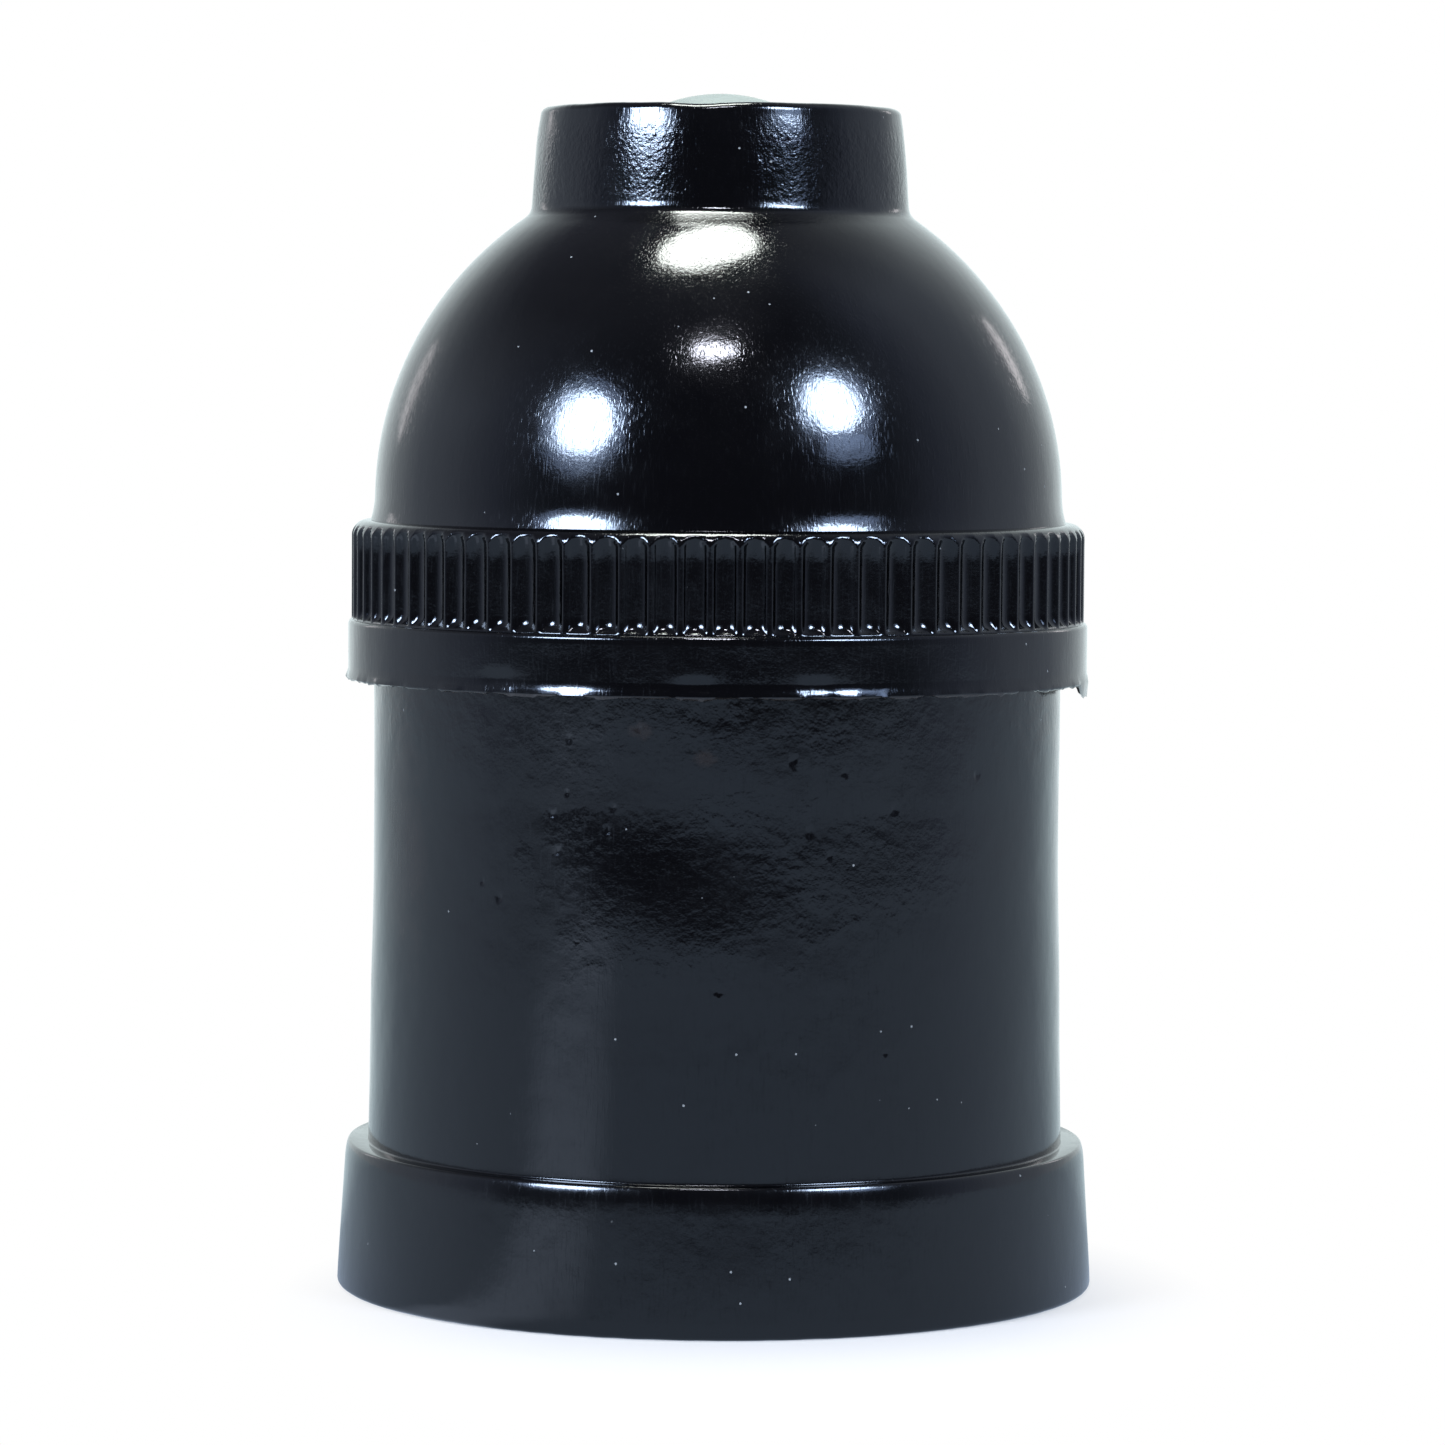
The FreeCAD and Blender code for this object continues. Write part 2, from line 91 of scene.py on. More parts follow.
def turn(outline, steps, closed=True):
    """Mesh of an outline of (radius, height) points in millimetres, spun round the Z axis.

    One sector is spun and then repeated, which takes far less time than one whole spin.
    """
    bm = bmesh.new()
    verts = [bm.verts.new((r, 0, z)) for r, z in outline]
    ends = verts[1:] + verts[:1] if closed else verts[1:]
    edges = [bm.edges.new(pair) for pair in zip(verts, ends)]
    sector = 2 * math.pi / SECTORS
    bmesh.ops.spin(
        bm, geom=verts + edges, cent=(0, 0, 0), axis=(0, 0, 1), angle=sector, steps=steps // SECTORS
    )
    spun = bm.verts[:] + bm.edges[:] + bm.faces[:]
    for i in range(1, SECTORS):
        copy = bmesh.ops.duplicate(bm, geom=spun)["geom"]
        copied = [part for part in copy if isinstance(part, bmesh.types.BMVert)]
        bmesh.ops.rotate(bm, verts=copied, cent=(0, 0, 0), matrix=Matrix.Rotation(i * sector, 3, "Z"))
    bmesh.ops.remove_doubles(bm, verts=bm.verts, dist=0.001)
    bmesh.ops.recalc_face_normals(bm, faces=bm.faces)
    return bm


def azimuth(co):
    """Degrees round the axis, 0 on the photographed side (-Y) and growing towards +X."""
    return math.degrees(math.atan2(co.x, -co.y))


def push_out(vert, distance):
    """Moves a vertex along its radius."""
    r = math.hypot(vert.co.x, vert.co.y)
    vert.co.x *= (r + distance) / r
    vert.co.y *= (r + distance) / r


def fade(value, low, high):
    """0 below low, 1 above high and smooth between them."""
    share = min(max((value - low) / (high - low), 0), 1)
    return share * share * (3 - 2 * share)


def thread_wave(co, pitch):
    """Round-bottomed right-hand thread: 0 at its root and 1 at its crest."""
    phase = co.z / pitch - math.atan2(co.y, co.x) / (2 * math.pi)
    return 0.5 + 0.5 * math.cos(2 * math.pi * phase)


def press_pit(bm, degrees, z, r, radius, depth):
    """Small uneven crater in a wall of radius r, on faces made finer round it."""
    a = math.radians(degrees)
    centre = Vector((r * math.sin(a), -r * math.cos(a), z))
    near = [f for f in bm.faces if (f.calc_center_median() - centre).length < 2.2 * radius + 0.3]
    edges = list({e for f in near for e in f.edges})
    bmesh.ops.subdivide_edges(bm, edges=edges, cuts=3, use_grid_fill=True)
    for vert in bm.verts:
        off = vert.co - centre
        if off.length > 2 * radius:
            continue
        share = off.length / radius * (1 + 0.7 * noise.noise(vert.co * 5.0))
        if share < 1:
            push_out(vert, -depth * (1 - share * share) ** 2)


def make_piece(name, bm, material, body, slot, *nodes, sharp=42):
    """Finishes a mesh made in millimetres as a piece of the scene that stands for CAD nodes."""
    bmesh.ops.scale(bm, vec=(MM, MM, MM), verts=bm.verts)
    mesh = bpy.data.meshes.new(name)
    bm.to_mesh(mesh)
    bm.free()
    mesh.shade_smooth()
    mesh.set_sharp_from_angle(angle=math.radians(sharp))
    mesh.materials.append(material)
    piece = bpy.data.objects.new(name, mesh)
    bpy.context.scene.collection.objects.link(piece)
    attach(piece, body)
    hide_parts(*nodes)
    return piece


def wire(tree, kind, sockets=None, **settings):
    """Adds a shader node. A socket is given a value, or another node's output to be linked to."""
    node = tree.nodes.new(kind)
    for key, value in settings.items():
        setattr(node, key, value)
    for key, value in (sockets or {}).items():
        if isinstance(value, bpy.types.NodeSocket):
            tree.links.new(value, node.inputs[key])
        else:
            node.inputs[key].default_value = value
    return node


def ranged(tree, value, low, high, to_low=0.0, to_high=1.0):
    """The value's range low to high, stretched onto another range and held there."""
    node = wire(
        tree,
        "ShaderNodeMapRange",
        {"Value": value, "From Min": low, "From Max": high, "To Min": to_low, "To Max": to_high},
    )
    return node.outputs["Result"]


def sums(tree, operation, first, second):
    """One step of arithmetic on two values."""
    node = wire(tree, "ShaderNodeMath", {0: first, 1: second}, operation=operation)
    return node.outputs[0]


def tinted(tree, share, colour, other):
    """Colour, going over to the other one as share goes from 0 to 1."""
    node = wire(tree, "ShaderNodeMix", {0: share, 6: colour, 7: other}, data_type="RGBA")
    return node.outputs[2]


def cloudy(tree, vector, scale, detail=2.0, roughness=0.5):
    """Cloud-like noise from 0 to 1."""
    node = wire(
        tree,
        "ShaderNodeTexNoise",
        {"Vector": vector, "Scale": scale, "Detail": detail, "Roughness": roughness},
    )
    return node.outputs["Fac"]


def new_group(name, inputs, outputs):
    """Empty shader group with number sockets. Returns it with its input and output nodes."""
    group = bpy.data.node_groups.new(name, "ShaderNodeTree")
    for socket in inputs:
        group.interface.new_socket(socket, in_out="INPUT", socket_type="NodeSocketFloat")
    for socket in outputs:
        group.interface.new_socket(socket, in_out="OUTPUT", socket_type="NodeSocketFloat")
    return group, wire(group, "NodeGroupInput"), wire(group, "NodeGroupOutput")


def new_material(name):
    """Material with a plain Principled shader. Returns it, its tree, the shader and Object coordinates."""
    material = bpy.data.materials.new(name)
    material.use_nodes = True
    tree = material.node_tree
    place = wire(tree, "ShaderNodeTexCoord").outputs["Object"]
    return material, tree, tree.nodes["Principled BSDF"], place


def relief(tree, shader, distance, height):
    """Bumps a shader's surface, on top of the bump that it may already have."""
    bump = wire(tree, "ShaderNodeBump", {"Distance": distance, "Height": height})
    for link in shader.inputs["Normal"].links:
        tree.links.new(link.from_socket, bump.inputs["Normal"])
    tree.links.new(bump.outputs["Normal"], shader.inputs["Normal"])


skin, skin_in, skin_out = new_group(
    "moulded_skin", ["Peel", "Grain", "Scratching"], ["Height", "Scratches", "Mottle", "Dust"]
)
place = wire(skin, "ShaderNodeTexCoord").outputs["Object"]
peel = cloudy(skin, place, 700.0, 3.0, 0.45)
grain = cloudy(skin, place, 5200.0, 2.0, 0.6)
upright = wire(skin, "ShaderNodeMapping", {"Vector": place, "Scale": (1.0, 1.0, 0.1)}).outputs["Vector"]
scratches = ranged(skin, cloudy(skin, upright, 8200.0, 1.0), 0.55, 0.8)
mottle = ranged(skin, cloudy(skin, place, 210.0, 4.0, 0.62), 0.42, 0.66)
cells = wire(skin, "ShaderNodeTexVoronoi", {"Vector": place, "Scale": 620.0})
speck = ranged(skin, cells.outputs["Distance"], 0.05, 0.035)
chance = wire(skin, "ShaderNodeSeparateColor", {"Color": cells.outputs["Color"]}).outputs["Red"]
dust = sums(skin, "MULTIPLY", speck, ranged(skin, chance, 0.5, 0.51))
height = sums(skin, "MULTIPLY", peel, skin_in.outputs["Peel"])
height = sums(skin, "ADD", height, sums(skin, "MULTIPLY", grain, skin_in.outputs["Grain"]))
height = sums(skin, "ADD", height, sums(skin, "MULTIPLY", scratches, skin_in.outputs["Scratching"]))
skin.links.new(height, skin_out.inputs["Height"])
skin.links.new(scratches, skin_out.inputs["Scratches"])
skin.links.new(mottle, skin_out.inputs["Mottle"])
skin.links.new(dust, skin_out.inputs["Dust"])

PHENOLIC_BLACK = (0.0003, 0.0003, 0.0005, 1.0)
PHENOLIC_WORN = (0.0008, 0.0007, 0.0009, 1.0)
DUST_GREY = (0.2, 0.2, 0.19, 1.0)
PHENOLIC_IOR = 1.6
SKIN_RELIEF = 0.00004


def phenolic(name, peel, grain, scratching, gloss_low, gloss_high):
    """Black moulded phenolic. Returns the material, its tree, its shader and Object coordinates."""
    material, tree, shader, place = new_material(name)
    marks = wire(tree, "ShaderNodeGroup", node_tree=skin)
    marks.inputs["Peel"].default_value = peel
    marks.inputs["Grain"].default_value = grain
    marks.inputs["Scratching"].default_value = scratching
    colour = tinted(tree, marks.outputs["Mottle"], PHENOLIC_BLACK, PHENOLIC_WORN)
    colour = tinted(tree, marks.outputs["Dust"], colour, DUST_GREY)
    rough = ranged(tree, marks.outputs["Mottle"], 0.0, 1.0, gloss_low, gloss_high)
    rough = sums(tree, "ADD", rough, ranged(tree, marks.outputs["Scratches"], 0.0, 1.0, 0.0, 0.08))
    rough = sums(tree, "ADD", rough, ranged(tree, marks.outputs["Dust"], 0.0, 1.0, 0.0, 0.5))
    tree.links.new(colour, shader.inputs["Base Color"])
    tree.links.new(rough, shader.inputs["Roughness"])
    relief(tree, shader, SKIN_RELIEF, marks.outputs["Height"])
    shader.inputs["IOR"].default_value = PHENOLIC_IOR
    return material, tree, shader, place


def tube_r(z):
    """The tube is a little narrower at its waist."""
    if z < TUBE_WAIST_Z:
        share = (TUBE_WAIST_Z - z) / (TUBE_WAIST_Z - FLANGE_Z)
        return TUBE_WAIST_R + (TUBE_FOOT_R - TUBE_WAIST_R) * share**1.3
    share = (z - TUBE_WAIST_Z) / (SHOULDER_Z - TUBE_WAIST_Z)
    return TUBE_WAIST_R + (TUBE_TOP_R - TUBE_WAIST_R) * share


TUBE_RINGS = 58
FOOT_FILLET = 0.1
tube_from = FLANGE_Z - LEDGE_DISH + FOOT_FILLET
tube_to = SHOULDER_Z - 0.25
ring_heights = [tube_from + (tube_to - tube_from) * i / TUBE_RINGS for i in range(TUBE_RINGS + 1)]
tube_wall = [(tube_r(z), z) for z in ring_heights]
under_ledge = LEDGE_Z - LEDGE_THICKNESS
FLANGE_ROUNDING = ((0, 0.95), (0.04, 0.6), (0.07, 0.42), (0.105, 0.27), (0.15, 0.13), (0.21, 0.04), (0.29, 0))
flange_edge = [(FLANGE_TOP_R - inward, FLANGE_Z - down) for inward, down in FLANGE_ROUNDING]
bm = turn(
    arc(MOUTH_R + MOUTH_EDGE, MOUTH_EDGE, MOUTH_EDGE, 180, 270, 4)
    + run((MOUTH_R + MOUTH_EDGE, 0), (flange_r - RIM_EDGE, 0), 4)
    + arc(flange_r - RIM_EDGE, RIM_EDGE, RIM_EDGE, 270, 360, 4)
    + run((flange_r, RIM_EDGE), flange_edge[0], 10)
    + flange_edge
    + arc(TUBE_FOOT_R + FOOT_FILLET, tube_from, FOOT_FILLET, 270, 185, 4)
    + tube_wall
    + arc(TUBE_TOP_R - 0.2, SHOULDER_Z - 0.2, 0.2, 10, 90, 3)
    + [(SPIGOT_R + 0.12, SHOULDER_Z), (SPIGOT_R, SHOULDER_Z + 0.15)]
    + run((SPIGOT_R, SHOULDER_Z + 0.15), (SPIGOT_R, spigot_top - 0.5), 34)
    + [(SPIGOT_R, spigot_top - 0.5), (SPIGOT_R - 0.5, spigot_top), (SPIGOT_BORE_R + 0.2, spigot_top)]
    + [(SPIGOT_BORE_R, spigot_top - 0.2), (SPIGOT_BORE_R, LEDGE_Z), (LEDGE_HOLE_R + 0.15, LEDGE_Z)]
    + [(LEDGE_HOLE_R, LEDGE_Z - 0.15), (LEDGE_HOLE_R, under_ledge + 0.15), (LEDGE_HOLE_R + 0.15, under_ledge)]
    + [(MOUTH_R - 0.3, under_ledge), (MOUTH_R, under_ledge - 0.3)]
    + run((MOUTH_R, under_ledge - 0.3), (MOUTH_R, MOUTH_EDGE), 5),
    TURNS,
)
# The moulding isn't quite round or straight. A sink in the front of the tube and small ripples
# all over it tilt its gloss, and the mouth's rim is a little uneven.
WAVES = 0.05
WAVE_SIZE = 7.0
RIPPLES = 0.006
RIPPLE_SIZE = 1.6
SINK_DEGREES = -8.0
SINK_Z = 25.3
SINK_WIDTH = 13.0
SINK_HEIGHT = 5.2
SINK_DEPTH = 0.3
SINK_SLANT = -0.05
RIM_BUMPS = 0.03
RIM_BUMP_SIZE = 1.3
for vert in bm.verts:
    co = vert.co.copy()
    r = math.hypot(co.x, co.y)
    if r > TUBE_WAIST_R - 0.2 and 0.2 < co.z < SHOULDER_Z - 0.1:
        push_out(vert, min(WAVES * noise.noise(co / WAVE_SIZE), flange_r - r))
        on_tube = fade(co.z, FLANGE_Z + 1, FLANGE_Z + 4) * (1 - fade(co.z, SHOULDER_Z - 1.0, SHOULDER_Z))
        ripple = noise.noise(co / RIPPLE_SIZE) + 0.5 * noise.noise(co / (0.45 * RIPPLE_SIZE))
        push_out(vert, RIPPLES * ripple * on_tube)
        across = (azimuth(co) - SINK_DEGREES) / SINK_WIDTH
        along = (co.z - SINK_Z - SINK_SLANT * (azimuth(co) - SINK_DEGREES)) / SINK_HEIGHT
        push_out(vert, -SINK_DEPTH * along * math.exp(-across * across - along * along) * on_tube)
    elif SPIGOT_R - 0.01 < r < SPIGOT_R + 0.01 and co.z > SHOULDER_Z + 0.3:
        run_out = fade(co.z, SPIGOT_THREAD_FROM, SPIGOT_THREAD_FROM + SPIGOT_THREAD_FADE)
        run_out *= 1 - fade(co.z, SPIGOT_THREAD_TO - SPIGOT_THREAD_FADE, SPIGOT_THREAD_TO)
        push_out(vert, -SPIGOT_THREAD_DEPTH * (1 - run_out * thread_wave(co, SPIGOT_THREAD_PITCH)))
    if r > flange_r - 0.6 and co.z < 0.1:
        vert.co.z += RIM_BUMPS * max(noise.noise(co / RIM_BUMP_SIZE), 0)

# Pits in the tube, each with its azimuth in degrees, its height and its reach.
PIT_DEPTH = 0.04
PITS = (
    (-24.5, 30.2, 0.192),
    (-16.7, 29.4, 0.24),
    (-26.9, 28.9, 0.24),
    (-17.7, 28.1, 0.336),
    (-25.9, 26.9, 0.32),
    (-40.7, 24.9, 0.24),
    (-37.2, 24.1, 0.288),
    (-24.2, 33.2, 0.24),
    (-12.6, 33.9, 0.272),
    (12.2, 32.1, 0.288),
    (20.9, 31.4, 0.24),
    (29.8, 29.3, 0.336),
    (15.0, 28.1, 0.304),
    (18.5, 26.8, 0.192),
    (-22.6, 21.9, 0.192),
    (-21.0, 21.95, 0.16),
    (0.5, 19.3, 0.36),
    (28.2, 15.6, 0.336),
    (47.0, 31.0, 0.28),
    (2.8, 17.4, 0.16),
)
for degrees, z, radius in PITS:
    press_pit(bm, degrees, z, TUBE_WAIST_R, radius, PIT_DEPTH)


def spot(tree, place, middle, reach, ragged):
    """Mask of a ragged blot: 1 in its middle, which is given in millimetres, and 0 beyond its reach."""
    off = wire(tree, "ShaderNodeVectorMath", {0: place}, operation="SUBTRACT")
    off.inputs[1].default_value = [value * MM for value in middle]
    scaled = wire(tree, "ShaderNodeVectorMath", {0: off.outputs[0]}, operation="DIVIDE")
    scaled.inputs[1].default_value = [value * MM for value in reach]
    away = wire(tree, "ShaderNodeVectorMath", {0: scaled.outputs[0]}, operation="LENGTH").outputs["Value"]
    away = sums(tree, "ADD", away, ranged(tree, ragged, 0.2, 0.8, -0.5, 0.5))
    return ranged(tree, away, 1.0, 0.5)


# The tube's front is scarred where the powder filled the mould badly, and dull brown at its left.
SCAR_RELIEF = 0.000025
DULL_BROWN = (0.008, 0.0052, 0.0042, 1.0)
BROWN_DULLNESS = 0.1
SMALL_BROWN_SPOTS = ((-0.7, -20.1, 32.3), (-4.2, -19.6, 33.8), (-17.9, -9.2, 21.5))
housing_black, tree, shader, place = phenolic("black_phenolic_housing", 0.35, 0.05, 0.05, 0.1, 0.17)
blotches = cloudy(tree, place, 420.0, 4.0, 0.6)
height_z = wire(tree, "ShaderNodeSeparateXYZ", {"Vector": place}).outputs["Z"]
upper = sums(tree, "MULTIPLY", ranged(tree, height_z, 0.029, 0.0335), ranged(tree, blotches, 0.4, 0.65))
scarred = sums(tree, "MAXIMUM", upper, spot(tree, place, (-2.5, -20.0, 25.0), (8.5, 9.0, 6.5), blotches))
scarred = sums(tree, "MAXIMUM", scarred, spot(tree, place, (9.0, -18.0, 26.0), (7.0, 7.0, 3.0), blotches))
scars = cloudy(tree, place, 1700.0, 4.0, 0.62)
relief(tree, shader, SCAR_RELIEF, sums(tree, "MULTIPLY", scars, scarred))
# A dull brown patch on the tube's left and a few small brown spots, also rougher there.
brown_patches = spot(tree, place, (-18.2, -8.9, 26.5), (2.4, 5.0, 9.0), blotches)
for middle in SMALL_BROWN_SPOTS:
    brown_patches = sums(tree, "MAXIMUM", brown_patches, spot(tree, place, middle, (0.75, 0.75, 0.6), scars))
plain = shader.inputs["Base Color"].links[0].from_socket
tree.links.new(tinted(tree, brown_patches, plain, DULL_BROWN), shader.inputs["Base Color"])
plain = shader.inputs["Roughness"].links[0].from_socket
dulled = sums(tree, "ADD", plain, sums(tree, "MULTIPLY", brown_patches, BROWN_DULLNESS))
tree.links.new(dulled, shader.inputs["Roughness"])
make_piece("housing_moulding", bm, housing_black, "housing", "black_phenolic", "housing")

# Seat washer: punched from red-brown vulcanised fibre. It lies loose on the housing's inner ledge,
# and the porcelain block turns on it.
FIBRE_RED = (0.2, 0.055, 0.032, 1.0)
FIBRE_BROWN = (0.34, 0.13, 0.075, 1.0)
FIBRE_RELIEF = 0.00005
material, tree, shader, place = new_material("vulcanised_fibre")
strands = wire(tree, "ShaderNodeMapping", {"Vector": place, "Scale": (1.0, 6.0, 6.0)}).outputs["Vector"]
felt = cloudy(tree, strands, 900.0, 5.0, 0.65)
tree.links.new(tinted(tree, felt, FIBRE_RED, FIBRE_BROWN), shader.inputs["Base Color"])
tree.links.new(ranged(tree, felt, 0.3, 0.7, 0.6, 0.85), shader.inputs["Roughness"])
relief(tree, shader, FIBRE_RELIEF, felt)


def dress(material, *nodes):
    """Gives CAD nodes that stay as they are their finished material."""
    for node in nodes:
        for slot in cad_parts[node].material_slots:
            slot.material = material


dress(material, "seat_washer")

# Terminal block: pressed porcelain with a clear glaze, bare on its lower face. It carries every
# live part, and two lugs of the cap hold it down.
PORCELAIN_WHITE = (0.8, 0.78, 0.72, 1.0)
PORCELAIN_CREAM = (0.72, 0.68, 0.58, 1.0)
IRON_SPECK = (0.25, 0.17, 0.1, 1.0)
GLAZE_RELIEF = 0.00006
material, tree, shader, place = new_material("glazed_porcelain")
cloud = cloudy(tree, place, 160.0, 3.0)
cells = wire(tree, "ShaderNodeTexVoronoi", {"Vector": place, "Scale": 420.0})
speck = ranged(tree, cells.outputs["Distance"], 0.08, 0.05)
colour = tinted(tree, cloud, PORCELAIN_WHITE, PORCELAIN_CREAM)
tree.links.new(tinted(tree, speck, colour, IRON_SPECK), shader.inputs["Base Color"])
tree.links.new(ranged(tree, cloud, 0.3, 0.7, 0.12, 0.3), shader.inputs["Roughness"])
relief(tree, shader, GLAZE_RELIEF, cloudy(tree, place, 500.0, 2.0))
shader.inputs["Coat Weight"].default_value = 0.6
shader.inputs["Coat Roughness"].default_value = 0.08
dress(material, "terminal_block")

# Screw shell: drawn from thin brass sheet, with the lamp's round thread rolled into it. Its flange
# is riveted under the block.
shell_low, shell_high = (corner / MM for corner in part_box("screw_shell"))
SHELL_WALL = 0.45
SHELL_STEPS = 144
shell_outer_r = shell_high.x
SHELL_CROWN_R = 12.6
SHELL_HOLE_R = 8.8
SHELL_CROWN_HEIGHT = 3.1
LAMP_PITCH = 25.4 / 7
LAMP_THREAD_DEPTH = 0.8
SHELL_LIP = 1.2
SHELL_BEND_R = 0.45

wear, wear_in, wear_out = new_group("metal_wear", ["Drawn", "Pitting"], ["Tarnish", "Lines", "Height"])
place = wire(wear, "ShaderNodeTexCoord").outputs["Object"]
tarnish = ranged(wear, cloudy(wear, place, 230.0, 5.0, 0.65), 0.38, 0.68)
drawn = wire(wear, "ShaderNodeMapping", {"Vector": place, "Scale": (1.0, 1.0, 14.0)}).outputs["Vector"]
lines = ranged(wear, cloudy(wear, drawn, 900.0, 2.0), 0.4, 0.7)
pits = ranged(wear, cloudy(wear, place, 2600.0, 1.0), 0.62, 0.75)
height = sums(wear, "MULTIPLY", lines, wear_in.outputs["Drawn"])
height = sums(wear, "SUBTRACT", height, sums(wear, "MULTIPLY", pits, wear_in.outputs["Pitting"]))
wear.links.new(tarnish, wear_out.inputs["Tarnish"])
wear.links.new(lines, wear_out.inputs["Lines"])
wear.links.new(height, wear_out.inputs["Height"])


METAL_RELIEF = 0.00003


def metal(name, bright, dull, rough_low, rough_high, drawn, pitting):
    """Sheet or turned metal, bright where it is rubbed and dull where it has tarnished."""
    material, tree, shader, _ = new_material(name)
    marks = wire(tree, "ShaderNodeGroup", node_tree=wear)
    marks.inputs["Drawn"].default_value = drawn
    marks.inputs["Pitting"].default_value = pitting
    tree.links.new(tinted(tree, marks.outputs["Tarnish"], bright, dull), shader.inputs["Base Color"])
    rough = ranged(tree, marks.outputs["Tarnish"], 0.0, 1.0, rough_low, rough_high)
    rough = sums(tree, "ADD", rough, ranged(tree, marks.outputs["Lines"], 0.0, 1.0, 0.0, 0.06))
    tree.links.new(rough, shader.inputs["Roughness"])
    relief(tree, shader, METAL_RELIEF, marks.outputs["Height"])
    shader.inputs["Metallic"].default_value = 1.0
    return material


brass = metal("rolled_brass", (0.83, 0.6, 0.27, 1.0), (0.46, 0.3, 0.13, 1.0), 0.22, 0.42, 0.4, 0.3)
crown_z = shell_high.z - SHELL_CROWN_HEIGHT
inner_r = shell_outer_r - SHELL_WALL
WALL_RINGS = 66
bm = turn(
    [(inner_r, shell_low.z), (shell_outer_r, shell_low.z)]
    + run((shell_outer_r, shell_low.z), (shell_outer_r, crown_z), WALL_RINGS)
    + arc(shell_outer_r - SHELL_BEND_R, crown_z, SHELL_BEND_R, 0, 90, 3)
    + [(SHELL_CROWN_R + SHELL_WALL + 0.1, crown_z + SHELL_WALL)]
    + run((SHELL_CROWN_R + SHELL_WALL, crown_z + 0.6), (SHELL_CROWN_R + SHELL_WALL, shell_high.z - 0.45), 4)
    + arc(SHELL_CROWN_R, shell_high.z - SHELL_WALL, SHELL_WALL, 0, 90, 4)
    + [(SHELL_HOLE_R, shell_high.z), (SHELL_HOLE_R, shell_high.z - SHELL_WALL)]
    + [(SHELL_CROWN_R - 0.15, shell_high.z - SHELL_WALL), (SHELL_CROWN_R, shell_high.z - SHELL_WALL - 0.15)]
    + [(SHELL_CROWN_R, crown_z + 0.1), (SHELL_CROWN_R + 0.1, crown_z)]
    + run((inner_r, crown_z), (inner_r, shell_low.z), WALL_RINGS),
    SHELL_STEPS,
)
for vert in bm.verts:
    r = math.hypot(vert.co.x, vert.co.y)
    if r > inner_r - 0.01 and vert.co.z < crown_z + 0.01:
        rolled = fade(vert.co.z, shell_low.z + SHELL_LIP, shell_low.z + 2 * SHELL_LIP)
        rolled *= 1 - fade(vert.co.z, crown_z - 1.5, crown_z)
        push_out(vert, -LAMP_THREAD_DEPTH * rolled * (1 - thread_wave(vert.co, LAMP_PITCH)))
make_piece("rolled_screw_shell", bm, brass, "interior", "brass", "screw_shell")
dress(brass, "shell_rivet", "neutral_rivet", "contact_rivet")

# Centre contact: a folded strip of spring brass, riveted to the block on the line's side. The
# lamp's foot presses it back.
spring_brass = metal("spring_brass", (0.86, 0.66, 0.33, 1.0), (0.5, 0.34, 0.16, 1.0), 0.18, 0.36, 0.6, 0.2)
dress(spring_brass, "centre_contact")

# Terminals: the line side is brass and the neutral side nickel plated, as the trade marks them.
# Each has a folded plate in its pocket, a saddle clamp and a slotted cheese-head screw.
nickel = metal("nickel_plate", (0.72, 0.68, 0.6, 1.0), (0.5, 0.46, 0.38, 1.0), 0.16, 0.34, 0.3, 0.25)
dress(brass, "line_terminal", "line_clamp", "line_screw")
dress(nickel, "neutral_terminal", "neutral_clamp", "neutral_screw")

# Neck bush: turned from steel and zinc plated, moulded into the cap's neck. A pipe or a cord bush
# screws into its thread, and the set screw in the back of the neck locks that.
bush_low, bush_high = (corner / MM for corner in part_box("neck_bush"))
BUSH_FLANGE_THICKNESS = 1.0
BUSH_FLANGE_R = 8.0
BUSH_R = 6.6
BUSH_HOLE_R = 4.6
BUSH_SOCKET_R = 5.2
BUSH_SOCKET_DEPTH = 1.2
PIPE_PITCH = 25.4 / 27
PIPE_THREAD_DEPTH = 0.5
BUSH_STEPS = 90
SET_SCREW_R = 1.45
set_low, set_high = (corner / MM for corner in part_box("set_screw"))
set_screw_z = (set_low.z + set_high.z) / 2
steel = metal("zinc_plated_steel", (0.6, 0.61, 0.62, 1.0), (0.38, 0.38, 0.38, 1.0), 0.28, 0.5, 0.25, 0.5)
flange_top = bush_low.z + BUSH_FLANGE_THICKNESS
socket_floor = bush_high.z - BUSH_SOCKET_DEPTH


def drill(bm, r, start, end, z, steps=48):
    """Cuts a round hole through a mesh along +Y, between two distances from the axis."""
    made = []
    for cutting in (False, True):
        mesh = bpy.data.meshes.new("drilling")
        if cutting:
            cutter = bmesh.new()
            bmesh.ops.create_cone(
                cutter,
                cap_ends=True,
                segments=steps,
                radius1=r,
                radius2=r,
                depth=end - start,
                matrix=Matrix.Translation((0, (start + end) / 2, z)) @ Matrix.Rotation(math.pi / 2, 4, "X"),
            )
            cutter.to_mesh(mesh)
            cutter.free()
        else:
            bm.to_mesh(mesh)
        made.append(bpy.data.objects.new("drilling", mesh))
        bpy.context.scene.collection.objects.link(made[-1])
    cut = made[0].modifiers.new("hole", "BOOLEAN")
    cut.operation = "DIFFERENCE"
    cut.solver = "MANIFOLD"
    cut.object = made[1]
    drilled = made[0].evaluated_get(bpy.context.evaluated_depsgraph_get()).to_mesh()
    bm.clear()
    bm.from_mesh(drilled)
    for obj in made:
        bpy.data.objects.remove(obj)


